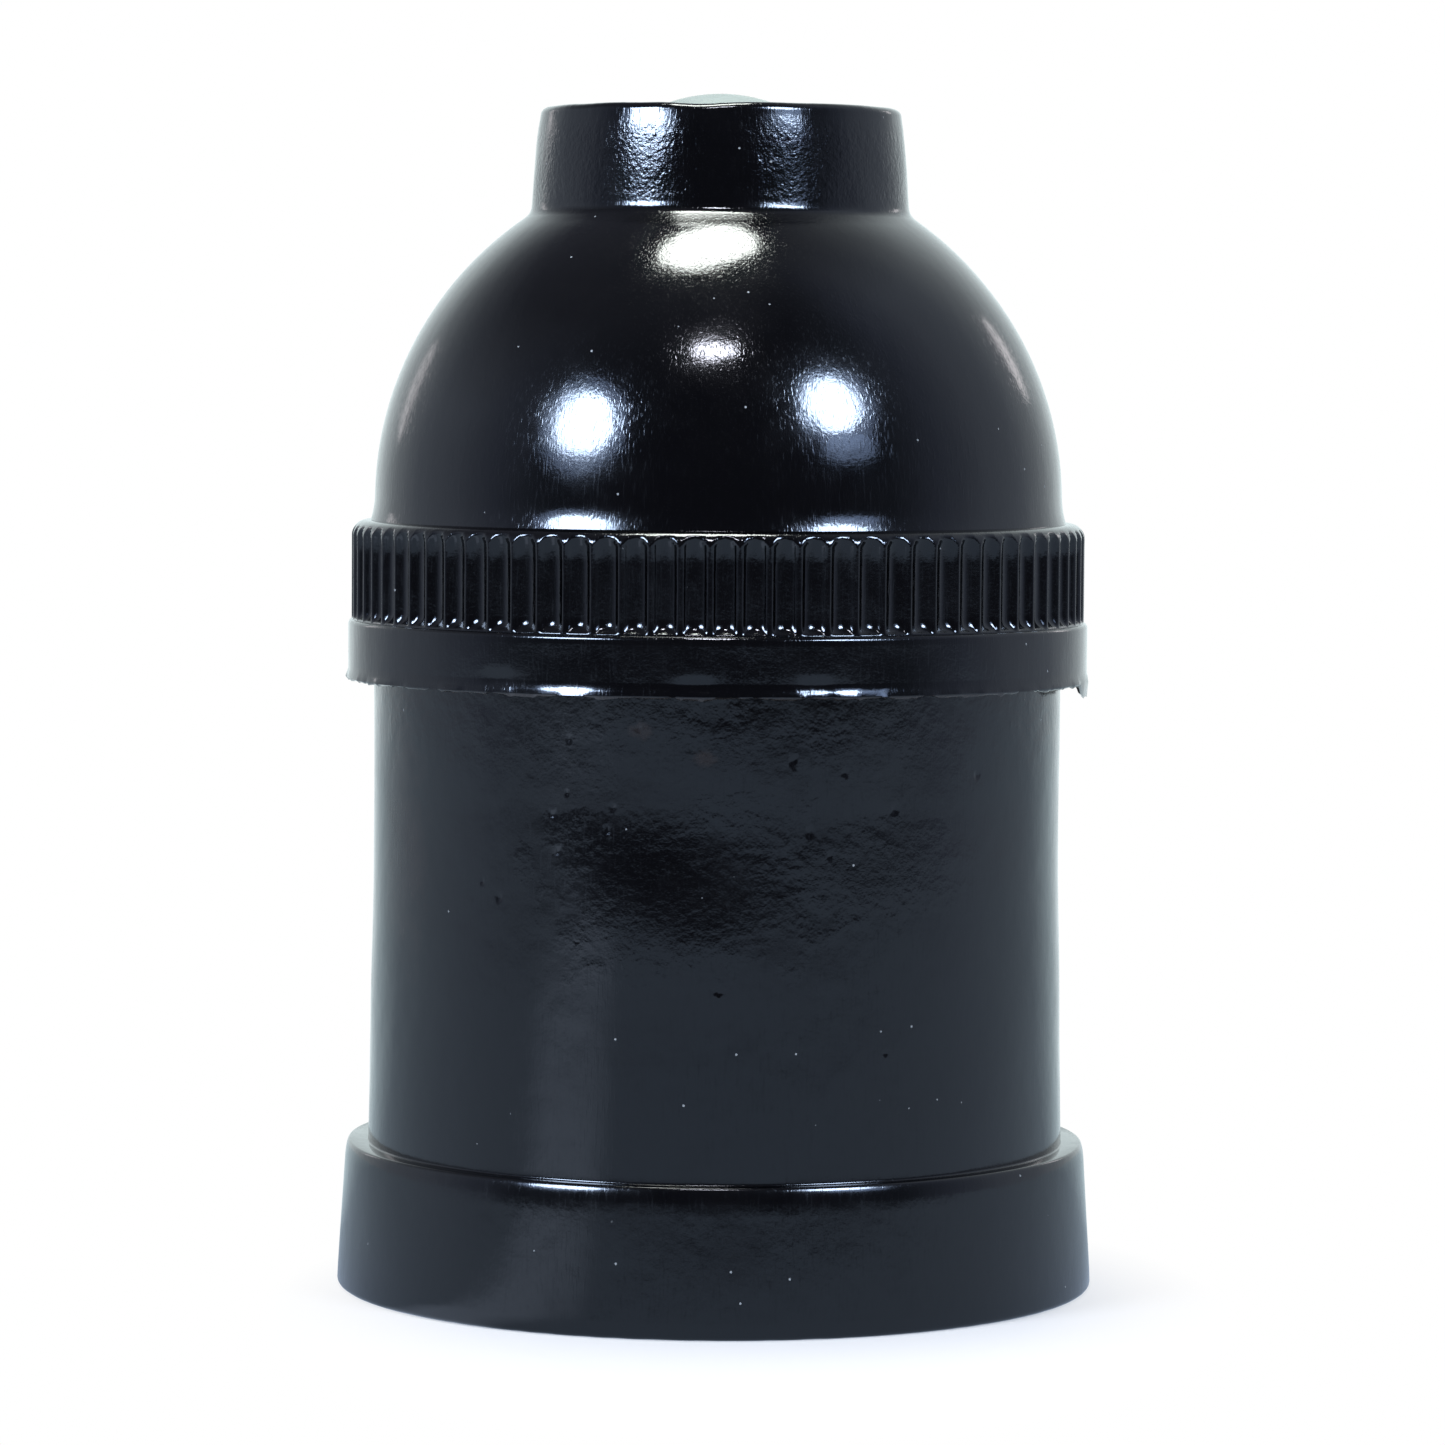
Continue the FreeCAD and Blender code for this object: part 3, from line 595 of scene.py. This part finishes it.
bm = turn(
    [(BUSH_HOLE_R + 0.4, bush_low.z), (BUSH_FLANGE_R - 0.2, bush_low.z), (BUSH_FLANGE_R, bush_low.z + 0.2)]
    + [(BUSH_FLANGE_R, flange_top - 0.2), (BUSH_FLANGE_R - 0.2, flange_top), (BUSH_R, flange_top)]
    + run((BUSH_R, flange_top), (BUSH_R, bush_high.z), 8)
    + [(BUSH_R - 0.2, bush_high.z), (BUSH_SOCKET_R + 0.2, bush_high.z), (BUSH_SOCKET_R, bush_high.z - 0.2)]
    + [(BUSH_SOCKET_R, socket_floor), (BUSH_HOLE_R + PIPE_THREAD_DEPTH, socket_floor)]
    + run((BUSH_HOLE_R, socket_floor), (BUSH_HOLE_R, bush_low.z + 0.4), 72),
    BUSH_STEPS,
)
for vert in bm.verts:
    if math.hypot(vert.co.x, vert.co.y) < BUSH_HOLE_R + 0.01:
        push_out(vert, PIPE_THREAD_DEPTH * (1 - thread_wave(vert.co, PIPE_PITCH)))
drill(bm, SET_SCREW_R + 0.06, BUSH_HOLE_R - 1, BUSH_R + 1, set_screw_z)
make_piece("threaded_neck_bush", bm, steel, "cap", "plated_steel", "neck_bush")
dress(steel, "set_screw")

# Cap: the upper half, moulded in black phenolic with its skirt, fluted grip band, dome and neck.
# It screws down over the spigot. Thin flash hangs from the skirt where the mould closed.
cap_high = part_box("cap")[1] / MM
CAP_HEIGHT = 33.3
cap_z = cap_high.z - CAP_HEIGHT
FLUTES = 81
FLUTE_STEPS = (0.0, 0.26, 0.35, 0.42, 0.5, 0.58, 0.65, 0.74)
FLUTE_DEPTH = 0.42
CREST_FALL = ((0.0, 0.0), (0.08, 0.1), (0.15, 0.5), (0.24, 0.86), (0.5, 1.0))
SKIRT_BORE_R = 20.6
SKIRT_R = 21.72
SKIRT_LIP_R = 21.84
SKIRT_EDGE = 0.28
SKIRT_WAVES = 0.025
SKIRT_WAVE_SIZE = 4.0
LIP_WAVES = 0.09
LIP_WAVE_SIZE = 1.6
FIN_WAVES = 0.03
FIN_WAVE_SIZE = 0.9
BAND_R = 21.5
BAND_EDGE = 0.9
BAND_FOOT_Z = cap_z + 3.4
BAND_TOP_Z = BAND_FOOT_Z + 5.8
FLUTE_FOOT_RUN = 0.75
FLUTE_HEAD_FROM = BAND_TOP_Z - 0.66
FLUTE_HEAD_TO = BAND_TOP_Z - 0.2
FLUTE_ARCH = 0.85
DOME_R = 20.15
DOME_Z = BAND_TOP_Z + 1.1
DOME_FLARE_HEIGHT = 1.5
DOME_FLARE = 0.27
DOME_WAVES = 0.03
DOME_WAVE_SIZE = 8.0
CHAMBER_R = 18.0
NECK_FOOT_R = 11.1
NECK_TOP_R = 10.55
NECK_EDGE = 0.45
NECK_MOUTH_R = 5.85
NECK_WAVES = 0.03
NECK_WAVE_SIZE = 2.2
NECK_TOP_WAVES = 0.05
NECK_TOP_WAVE_SIZE = 3.0
THREAD_BORE_R = 18.65
CAP_THREAD_DEPTH = 0.22
neck_z = DOME_Z + math.sqrt(DOME_R**2 - NECK_FOOT_R**2)
rim_z = cap_high.z
chamber_z = spigot_top + 0.3
step_z = SHOULDER_Z + 0.3


def on_ball(radius, z):
    """Distance from the axis of a ball round the dome's centre, at a height."""
    return math.sqrt(radius**2 - (z - DOME_Z) ** 2)


def ball_arc(radius, z_from, z_to, count):
    """Outline points on a ball round the dome's centre, between two heights."""
    low = math.degrees(math.asin((z_from - DOME_Z) / radius))
    high = math.degrees(math.asin((z_to - DOME_Z) / radius))
    return arc(0, DOME_Z, radius, low, high, count)


flare_z = BAND_TOP_Z + DOME_FLARE_HEIGHT
dome_foot = []
for i in range(9):
    z = BAND_TOP_Z + DOME_FLARE_HEIGHT * i / 9
    share = 1 - i / 9
    dome_foot.append((on_ball(DOME_R, z) + DOME_FLARE * share**2, z))
ROOT_R = BAND_R - FLUTE_DEPTH
FOOT_RINGS = (0.04, 0.1, 0.17, 0.25, 0.35, 0.47, 0.6, 0.75, 0.92, 1.12)
foot_rings = [(BAND_R, BAND_FOOT_Z + up) for up in FOOT_RINGS]
edge_round = arc(BAND_R - BAND_EDGE, BAND_TOP_Z - BAND_EDGE, BAND_EDGE, 0, 90, 13)
NECK_PROFILE = (
    (0.12, -0.02),
    (0.03, 0.12),
    (-0.04, 0.32),
    (-0.08, 0.6),
    (-0.12, 1.3),
    (-0.16, 2.0),
    (-0.205, 2.7),
    (-0.26, 3.4),
    (-0.315, 4.0),
    (-0.375, 4.55),
    (-0.44, 5.05),
    (-0.5, 5.4),
)
neck_wall = [(NECK_FOOT_R + out, neck_z + up) for out, up in NECK_PROFILE]
FIN_RINGS = ((21.6, cap_z - 0.1), (21.72, cap_z - 0.12))
outline = (
    [(SKIRT_BORE_R, cap_z + 0.15), (SKIRT_BORE_R + 0.15, cap_z), (21.45, cap_z)]
    + list(FIN_RINGS)
    + [(SKIRT_LIP_R, cap_z + 0.03), (SKIRT_LIP_R - 0.01, cap_z + 0.1), (SKIRT_LIP_R - 0.03, cap_z + 0.2)]
    + [(SKIRT_LIP_R - 0.06, cap_z + 0.33), (SKIRT_R, cap_z + 0.52)]
    + run((SKIRT_R, cap_z + 0.52), (SKIRT_R, BAND_FOOT_Z - SKIRT_EDGE), 9)
    + arc(SKIRT_R - SKIRT_EDGE, BAND_FOOT_Z - SKIRT_EDGE, SKIRT_EDGE, 0, 78, 6)
    + foot_rings
    + run(foot_rings[-1], (BAND_R, BAND_TOP_Z - BAND_EDGE), 4)
    + edge_round
    + dome_foot
    + ball_arc(DOME_R, flare_z, neck_z - 0.2, 24)
    + neck_wall
    + arc(NECK_TOP_R - NECK_EDGE, rim_z - NECK_EDGE, NECK_EDGE, 0, 90, 6)
    + run((NECK_TOP_R - NECK_EDGE, rim_z), (NECK_MOUTH_R + 0.3, rim_z), 5)
    + arc(NECK_MOUTH_R + 0.3, rim_z - 0.3, 0.3, 90, 180, 3)
    + [(NECK_MOUTH_R, bush_high.z), (BUSH_R, bush_high.z), (BUSH_R, flange_top)]
    + ball_arc(CHAMBER_R, flange_top, chamber_z, 8)
    + [(THREAD_BORE_R, chamber_z)]
    + run((THREAD_BORE_R, chamber_z), (THREAD_BORE_R, step_z), 18)
    + [(THREAD_BORE_R + 0.1, step_z), (SKIRT_BORE_R, step_z)]
)
steps = FLUTES * len(FLUTE_STEPS)
bm = turn(outline, steps)


def groove(share):
    """Depth of a flute across its width, 1 in its middle and 0 on the crests beside it."""
    off_crest = abs(share - 0.5)
    for (low, fall), (high, next_fall) in zip(CREST_FALL, CREST_FALL[1:]):
        if off_crest <= high:
            return fall + (next_fall - fall) * (off_crest - low) / (high - low)
    return 1.0


def groove_end(z, share):
    """Depth of a flute along its height: it runs out in a spoon at its foot and an arch at its head."""
    if z < BAND_FOOT_Z + FLUTE_FOOT_RUN:
        return 1 - (1 - (z - BAND_FOOT_Z) / FLUTE_FOOT_RUN) ** 2.0
    arch_z = z + FLUTE_ARCH * (1 - 2 * abs(share - 0.5)) ** 1.5
    if arch_z > FLUTE_HEAD_FROM:
        risen = min((arch_z - FLUTE_HEAD_FROM) / (FLUTE_HEAD_TO - FLUTE_HEAD_FROM), 1)
        return math.sqrt(1 - risen * risen)
    return 1.0


FLASH_FLAP = 0.75


def flash_drop(degrees):
    """How far the skirt's flash hangs down: ragged, with one long torn flap on the right."""
    place = Vector((4.0 * math.cos(math.radians(degrees)), 4.0 * math.sin(math.radians(degrees)), 0))
    ragged = 0.07 + 0.13 * noise.noise(place * 2.3) + 0.12 * noise.noise(place * 9.0)
    flap = FLASH_FLAP * fade(degrees, 74, 78) * (1 - fade(degrees, 96, 101))
    return max(ragged, 0.0) + flap


flute_pitch = 2 * math.pi / FLUTES
SKIRT_DENTS = ((-34.0, 36.5), (-3.0, 36.3), (14.6, 36.3))
DENT_WIDTH = 3.0
DENT_HEIGHT = 0.3
DENT_DEPTH = 0.06
NECK_DIP_DEGREES = -7.0
NECK_DIP_WIDTH = 9.0
NECK_DIP_DEPTH = 0.14
for vert in bm.verts:
    co = vert.co.copy()
    r = math.hypot(co.x, co.y)
    angle = math.atan2(co.y, co.x) % (2 * math.pi)
    step = round(angle / (2 * math.pi) * steps) % steps
    share = FLUTE_STEPS[step % len(FLUTE_STEPS)]
    angle = (step // len(FLUTE_STEPS) + share) * flute_pitch
    if r > BAND_R - BAND_EDGE + 0.01 and BAND_FOOT_Z + 0.01 < co.z < BAND_TOP_Z:
        shoulder_r = BAND_R - (co.z - BAND_FOOT_Z - 0.04)
        r = max(min(r, BAND_R - FLUTE_DEPTH * groove(share) * groove_end(co.z, share)), shoulder_r)
    elif r > ROOT_R and co.z < cap_z - 0.05:
        vert.co.z = cap_z - flash_drop(azimuth(co)) * (1.0 if co.z < cap_z - 0.11 else 0.9)
        r += FIN_WAVES * noise.noise(co / FIN_WAVE_SIZE)
    elif THREAD_BORE_R - 0.01 < r < THREAD_BORE_R + 0.01 and step_z + 0.3 < co.z < chamber_z - 0.3:
        r -= CAP_THREAD_DEPTH * thread_wave(co, SPIGOT_THREAD_PITCH)
    elif r > DOME_R * 0.3 and BAND_TOP_Z + 0.5 < co.z < neck_z:
        r += DOME_WAVES * noise.noise(co / DOME_WAVE_SIZE) * fade(co.z, BAND_TOP_Z + 1, BAND_TOP_Z + 4)
    elif r > SKIRT_R - 0.1 and co.z < BAND_FOOT_Z - 0.1:
        r += SKIRT_WAVES * noise.noise(co / SKIRT_WAVE_SIZE) - 0.02
        r += LIP_WAVES * noise.noise(co / LIP_WAVE_SIZE) * (1 - fade(co.z, cap_z, cap_z + 0.5))
        for degrees, z in SKIRT_DENTS:
            across = (azimuth(co) - degrees) / DENT_WIDTH
            along = (co.z - z) / DENT_HEIGHT
            r -= DENT_DEPTH * math.exp(-across * across - along * along)
    if co.z > neck_z + 0.2 and r > NECK_MOUTH_R + 0.2:
        r += NECK_WAVES * noise.noise(co / NECK_WAVE_SIZE)
        dip = math.exp(-(((azimuth(co) - NECK_DIP_DEGREES) / NECK_DIP_WIDTH) ** 2))
        dip *= NECK_DIP_DEPTH * fade(co.z, rim_z - 1.0, rim_z)
        vert.co.z -= dip + NECK_TOP_WAVES * noise.noise(co / NECK_TOP_WAVE_SIZE)
        vert.co.z = min(vert.co.z, rim_z)
    vert.co.x = r * math.cos(angle)
    vert.co.y = r * math.sin(angle)

# Two ribs inside the dome reach down as lugs into the block's notches.
LUG_INNER_R = 13.3
LUG_OUTER_R = 15.7
RIB_OUTER_R = 17.2
block_low, block_high = (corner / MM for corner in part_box("terminal_block"))
for side in (1, -1):
    for width, low, high, outer_r in (
        (4.0, block_low.z + 1.2, chamber_z + 1.0, LUG_OUTER_R),
        (7.0, block_high.z + 0.3, chamber_z + 1.0, LUG_OUTER_R),
        (7.0, chamber_z + 0.3, DOME_Z + 10.0, RIB_OUTER_R),
    ):
        middle = Vector((side * (LUG_INNER_R + outer_r) / 2, 0, (low + high) / 2))
        size = Matrix.Diagonal((outer_r - LUG_INNER_R, width, high - low, 1))
        made = bmesh.ops.create_cube(bm, size=1, matrix=Matrix.Translation(middle) @ size)
        edges = list({e for v in made["verts"] for e in v.link_edges})
        bmesh.ops.bevel(
            bm,
            geom=edges,
            offset=0.3,
            segments=2,
            profile=0.5,
            affect="EDGES",
            material=-1,
            clamp_overlap=True,
        )
drill(bm, SET_SCREW_R + 0.4, BUSH_R - 0.5, NECK_FOOT_R + 2, set_screw_z)

NECK_RELIEF = 0.000036
cap_black, tree, shader, place = phenolic("black_phenolic_cap", 0.25, 0.1, 0.08, 0.085, 0.13)
height_z = wire(tree, "ShaderNodeSeparateXYZ", {"Vector": place}).outputs["Z"]
on_neck = ranged(tree, height_z, (neck_z + 0.1) * MM, (neck_z + 0.9) * MM)
on_neck = sums(tree, "MULTIPLY", on_neck, ranged(tree, height_z, (rim_z - 0.7) * MM, (rim_z - 1.8) * MM))
wrinkles = cloudy(tree, place, 2600.0, 3.0, 0.6)
relief(tree, shader, NECK_RELIEF, sums(tree, "MULTIPLY", wrinkles, on_neck))
# The flash is painted a lighter brown-grey: partly its own brown, partly a painted sheen for the light that
# its rough surface scatters.
FLASH_BROWN_AND_SHEEN = (0.022, 0.019, 0.017, 1.0)
on_flash = ranged(tree, height_z, (cap_z + 0.06) * MM, (cap_z - 0.02) * MM)
plain = shader.inputs["Base Color"].links[0].from_socket
tree.links.new(tinted(tree, on_flash, plain, FLASH_BROWN_AND_SHEEN), shader.inputs["Base Color"])
make_piece("cap_moulding", bm, cap_black, "cap", "black_phenolic", "cap", sharp=62)

# Closing plug: pressed from soft aluminium, dull grey, and pushed into the bush's counterbore to
# keep dirt out until the socket is hung. Its domed head shows above the neck's rim.
plug_low, plug_high = (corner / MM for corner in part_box("entry_plug"))
PLUG_STEM_R = 5.14
plug_r = plug_high.x
head_z = bush_high.z + 0.1
head_edge_z = head_z + 0.35
rise = plug_high.z - head_edge_z
crown_r = (plug_r**2 + rise**2) / (2 * rise)
crown_angle = math.degrees(math.asin((crown_r - rise) / crown_r))
bm = turn(
    [(0, plug_low.z), (PLUG_STEM_R - 0.3, plug_low.z)]
    + arc(PLUG_STEM_R - 0.3, plug_low.z + 0.3, 0.3, 270, 360, 3)
    + [(PLUG_STEM_R, head_z), (plug_r - 0.1, head_z), (plug_r, head_z + 0.1)]
    + [(plug_r, head_edge_z - 0.05)]
    + arc(0, plug_high.z - crown_r, crown_r, crown_angle + 0.6, 90, 24),
    180,
    closed=False,
)
ALUMINIUM_GREY = (0.43, 0.45, 0.37, 1.0)
ALUMINIUM_DULL = (0.34, 0.36, 0.3, 1.0)
ALUMINIUM_RELIEF = 0.00002
material, tree, shader, _ = new_material("dull_aluminium")
marks = wire(tree, "ShaderNodeGroup", node_tree=wear)
marks.inputs["Drawn"].default_value = 0.1
marks.inputs["Pitting"].default_value = 0.6
colour = tinted(tree, marks.outputs["Tarnish"], ALUMINIUM_GREY, ALUMINIUM_DULL)
tree.links.new(colour, shader.inputs["Base Color"])
tree.links.new(ranged(tree, marks.outputs["Tarnish"], 0.0, 1.0, 0.42, 0.6), shader.inputs["Roughness"])
relief(tree, shader, ALUMINIUM_RELIEF, marks.outputs["Height"])
shader.inputs["Metallic"].default_value = 0.35
make_piece("closing_plug", bm, material, "plug", "dull_aluminium", "entry_plug")

# Room: white to the camera. In gloss it is dark in front, where the camera stands, and grows
# brighter round to the white backdrop behind the socket.
ROOM_BY_DIRECTION = (
    (0.0, (0.05, 0.053, 0.072, 1.0)),
    (0.12, (0.052, 0.056, 0.078, 1.0)),
    (0.25, (0.08, 0.095, 0.13, 1.0)),
    (0.41, (0.23, 0.27, 0.38, 1.0)),
    (0.59, (0.4, 0.46, 0.58, 1.0)),
    (0.75, (0.42, 0.48, 0.58, 1.0)),
    (0.88, (0.6, 0.67, 0.73, 1.0)),
    (0.97, (1.0, 1.12, 1.15, 1.0)),
    (1.0, (1.05, 1.2, 1.22, 1.0)),
)


def colour_steps(tree, value, steps):
    """Colour ramp through (position, colour) steps."""
    ramp = wire(tree, "ShaderNodeValToRGB", {"Fac": value})
    stops = ramp.color_ramp.elements
    stops[0].position, stops[0].color = steps[0]
    stops[1].position, stops[1].color = steps[-1]
    for position, colour in steps[1:-1]:
        stops.new(position).color = colour
    return ramp.outputs["Color"]


room = bpy.data.node_groups.new("room_by_direction", "ShaderNodeTree")
room.interface.new_socket("Direction", in_out="INPUT", socket_type="NodeSocketVector")
room.interface.new_socket("Colour", in_out="OUTPUT", socket_type="NodeSocketColor")
room.interface.new_socket("Backward", in_out="OUTPUT", socket_type="NodeSocketFloat")
room_in = wire(room, "NodeGroupInput")
direction = wire(room, "ShaderNodeVectorMath", {0: room_in.outputs["Direction"]}, operation="MULTIPLY")
direction.inputs[1].default_value = (1.0, 1.0, 0.0)
level = wire(room, "ShaderNodeVectorMath", {0: direction.outputs[0]}, operation="NORMALIZE")
backward = ranged(room, wire(room, "ShaderNodeSeparateXYZ", {0: level.outputs[0]}).outputs["Y"], -1.0, 1.0)
wire(room, "NodeGroupOutput", {0: colour_steps(room, backward, ROOM_BY_DIRECTION), 1: backward})

# The ceiling above the socket is darker than the walls.
ROOM_CEILING = (0.12, 0.13, 0.17, 1.0)
CEILING_LEAN_X = 0.28
CEILING_LEAN_Y = 0.2
CEILING_FROM = 0.62
CEILING_TO = 0.95
world = bpy.data.worlds.new("room")
bpy.context.scene.world = world
world.use_nodes = True
tree = world.node_tree
tree.nodes.clear()
look = wire(tree, "ShaderNodeTexCoord").outputs["Generated"]
walls = wire(tree, "ShaderNodeGroup", {0: look}, node_tree=room)
axes = wire(tree, "ShaderNodeSeparateXYZ", {"Vector": look})
sideways = sums(tree, "MULTIPLY", axes.outputs["X"], CEILING_LEAN_X)
leaning = sums(tree, "SUBTRACT", axes.outputs["Z"], sideways)
leaning = sums(tree, "ADD", leaning, sums(tree, "MULTIPLY", axes.outputs["Y"], CEILING_LEAN_Y))
overhead = ranged(tree, leaning, CEILING_FROM, CEILING_TO)
seen = tinted(tree, overhead, walls.outputs["Colour"], ROOM_CEILING)
gloss_room = wire(tree, "ShaderNodeBackground", {"Color": seen, "Strength": 1.0})
white_room = wire(tree, "ShaderNodeBackground", {"Color": (1.0, 1.0, 1.0, 1.0), "Strength": 1.0})
rays = wire(tree, "ShaderNodeLightPath")
mix = wire(
    tree,
    "ShaderNodeMixShader",
    {0: rays.outputs["Is Camera Ray"], 1: gloss_room.outputs[0], 2: white_room.outputs[0]},
)
wire(tree, "ShaderNodeOutputWorld", {"Surface": mix.outputs[0]})

# Table: a white sheet of board. To the camera it is white with a soft cool shadow round the
# socket. In gloss it shows painted lamplight instead: a pale blue-grey table, painted darker in
# front and brighter towards the back, with a painted pool of lamplight on its left.
FLOOR_HALF = 6.0
FLOOR_GAP = 0.00002
FLOOR_WARM = (0.42, 0.36, 0.3, 1.0)
FLOOR_LIFT = (0.37, 0.41, 0.47, 1.0)
SHADOW_PLACE = (0.002, -0.01, 0.0)
SHADOW_SHAPE = (1.5, 1.0, 1.0)
SHADOW_FROM = 0.024
SHADOW_TO = 0.042
TABLE_EDGE_FROM = 0.42
TABLE_EDGE_TO = 0.66
# A painted pool of lamplight on the table's left, seen only in gloss.
POOL_DIRECTION = (-0.719, -0.695, 0.0)
POOL_COLOUR = (0.72, 0.87, 1.13, 1.0)
POOL_FROM = 0.972
POOL_TO = 0.996
POOL_FAR = 0.3
POOL_NEAR = 0.17
# Painted lamplight on the table as glossy rays see it: darker in front, brighter towards the back.
PAINTED_TABLE_LIGHT_BY_DIRECTION = (
    (0.0, (0.36, 0.46, 0.62, 1.0)),
    (0.5, (0.42, 0.52, 0.67, 1.0)),
    (0.8, (0.42, 0.52, 0.62, 1.0)),
    (0.92, (0.68, 0.83, 0.9, 1.0)),
    (1.0, (1.08, 1.2, 1.24, 1.0)),
)
bm = bmesh.new()
bmesh.ops.create_grid(bm, x_segments=1, y_segments=1, size=FLOOR_HALF)
bmesh.ops.translate(bm, verts=bm.verts, vec=(0, 0, -FLOOR_GAP))
mesh = bpy.data.meshes.new("table")
bm.to_mesh(mesh)
bm.free()
table = bpy.data.objects.new("table", mesh)
bpy.context.scene.collection.objects.link(table)
material = bpy.data.materials.new("white_table")
material.use_nodes = True
tree = material.node_tree
tree.nodes.clear()
mesh.materials.append(material)
place = wire(tree, "ShaderNodeTexCoord").outputs["Object"]
away = wire(tree, "ShaderNodeVectorMath", {0: place}, operation="LENGTH").outputs["Value"]
walls = wire(tree, "ShaderNodeGroup", {0: place}, node_tree=room)
seen = colour_steps(tree, walls.outputs["Backward"], PAINTED_TABLE_LIGHT_BY_DIRECTION)
level = wire(tree, "ShaderNodeVectorMath", {0: place}, operation="NORMALIZE").outputs[0]
on_pool = wire(tree, "ShaderNodeVectorMath", {0: level}, operation="DOT_PRODUCT")
on_pool.inputs[1].default_value = POOL_DIRECTION
pool = ranged(tree, on_pool.outputs["Value"], POOL_FROM, POOL_TO)
pool = sums(tree, "MULTIPLY", pool, ranged(tree, away, POOL_FAR, POOL_NEAR))
seen = tinted(tree, pool, seen, POOL_COLOUR)
seen = tinted(tree, ranged(tree, away, TABLE_EDGE_FROM, TABLE_EDGE_TO), seen, walls.outputs["Colour"])
painted_gloss_view = wire(tree, "ShaderNodeEmission", {"Color": seen})
white_board = wire(tree, "ShaderNodeBsdfDiffuse", {"Color": FLOOR_WARM})
lift = wire(tree, "ShaderNodeEmission", {"Color": FLOOR_LIFT})
rays = wire(tree, "ShaderNodeLightPath")
lit_board = wire(tree, "ShaderNodeAddShader", {0: white_board.outputs[0], 1: lift.outputs[0]})
off_shadow = wire(tree, "ShaderNodeVectorMath", {0: place}, operation="SUBTRACT")
off_shadow.inputs[1].default_value = SHADOW_PLACE
shaped = wire(tree, "ShaderNodeVectorMath", {0: off_shadow.outputs[0]}, operation="MULTIPLY")
shaped.inputs[1].default_value = SHADOW_SHAPE
shadow_away = wire(tree, "ShaderNodeVectorMath", {0: shaped.outputs[0]}, operation="LENGTH").outputs["Value"]
past_shadow = ranged(tree, shadow_away, SHADOW_FROM, SHADOW_TO)
plain_white = wire(tree, "ShaderNodeEmission", {"Color": (1.0, 1.0, 1.0, 1.0)})
camera_view = wire(
    tree,
    "ShaderNodeMixShader",
    {0: past_shadow, 1: lit_board.outputs[0], 2: plain_white.outputs[0]},
)
mix = wire(
    tree,
    "ShaderNodeMixShader",
    {0: rays.outputs["Is Camera Ray"], 1: white_board.outputs[0], 2: camera_view.outputs[0]},
)
mix = wire(
    tree,
    "ShaderNodeMixShader",
    {0: rays.outputs["Is Glossy Ray"], 1: mix.outputs[0], 2: painted_gloss_view.outputs[0]},
)
wire(tree, "ShaderNodeOutputMaterial", {"Surface": mix.outputs[0]})

# Lamps: two round softboxes in front, one broad lamp overhead and a few small ones, each where
# its highlight on the dome says that it stood.
DOME_MIDDLE = Vector((0, 0, 0.05))


def softbox(name, degrees, elevation, width, height, radiance, colour, distance=0.8):
    """Lamp at an azimuth and elevation, with its width and height as angles from the socket."""
    data = bpy.data.lights.new(name, "AREA")
    data.shape = "ELLIPSE"
    data.size = 2 * distance * math.tan(math.radians(width / 2))
    data.size_y = 2 * distance * math.tan(math.radians(height / 2))
    data.energy = radiance * math.pi * math.pi * data.size * data.size_y / 4
    data.color = colour
    lamp = bpy.data.objects.new(name, data)
    a, e = math.radians(degrees), math.radians(elevation)
    out = Vector((math.sin(a) * math.cos(e), -math.cos(a) * math.cos(e), math.sin(e)))
    turned = out.to_track_quat("Z", "Y").to_matrix().to_4x4()
    lamp.matrix_world = Matrix.Translation(DOME_MIDDLE + out * distance) @ turned
    lamp.visible_camera = False
    bpy.context.scene.collection.objects.link(lamp)


COOL_LIGHT = (0.6, 0.75, 1.0)
GLOW_LIGHT = (0.45, 0.62, 1.0)
TOP_LIGHT = (0.95, 1.0, 0.95)
SMALL_LIGHT = (0.85, 0.87, 1.0)
RIM_LIGHT = (1.0, 0.93, 0.95)
softbox("left_softbox", -48.1, 23.8, 21.0, 19.0, 38.0, COOL_LIGHT)
softbox("right_softbox", 42.4, 30.6, 19.0, 17.0, 38.0, COOL_LIGHT)
softbox("left_glow", -48.6, 23.2, 30.0, 29.0, 2.4, GLOW_LIGHT, 0.82)
softbox("right_glow", 43.4, 29.5, 28.0, 26.0, 2.2, GLOW_LIGHT, 0.82)
softbox("right_fill", 45.0, 17.0, 20.0, 8.0, 3.0, GLOW_LIGHT)
softbox("top_softbox", -142.0, 85.0, 24.0, 18.0, 20.0, TOP_LIGHT)
softbox("small_lamp", -3.2, 51.5, 11.0, 5.0, 45.0, SMALL_LIGHT)
softbox("left_rim_lamp", -139.5, 12.0, 7.0, 13.0, 1.2, RIM_LIGHT)
softbox("right_rim_lamp", 140.0, 17.0, 6.0, 12.0, 2.0, RIM_LIGHT)

# Camera: a long lens, at the place that the ellipses of the flange and the neck in the photograph
# give, pitched down and rolled a little.
CAMERA_PLACE = (0.00032, -0.3426, 0.0541)
CAMERA_PITCH = -3.518
CAMERA_ROLL = 0.38
CAMERA_LENS = 145.2
CAMERA_SENSOR = 36.0
camera_data = bpy.data.cameras.new("camera")
camera_data.lens = CAMERA_LENS
camera_data.sensor_width = CAMERA_SENSOR
camera = bpy.data.objects.new("camera", camera_data)
bpy.context.scene.collection.objects.link(camera)
pitched = Matrix.Rotation(math.radians(90 + CAMERA_PITCH), 4, "X")
rolled = Matrix.Rotation(math.radians(CAMERA_ROLL), 4, "Z")
camera.matrix_world = Matrix.Translation(CAMERA_PLACE) @ pitched @ rolled
bpy.context.scene.camera = camera
bpy.context.scene.view_settings.view_transform = "Standard"
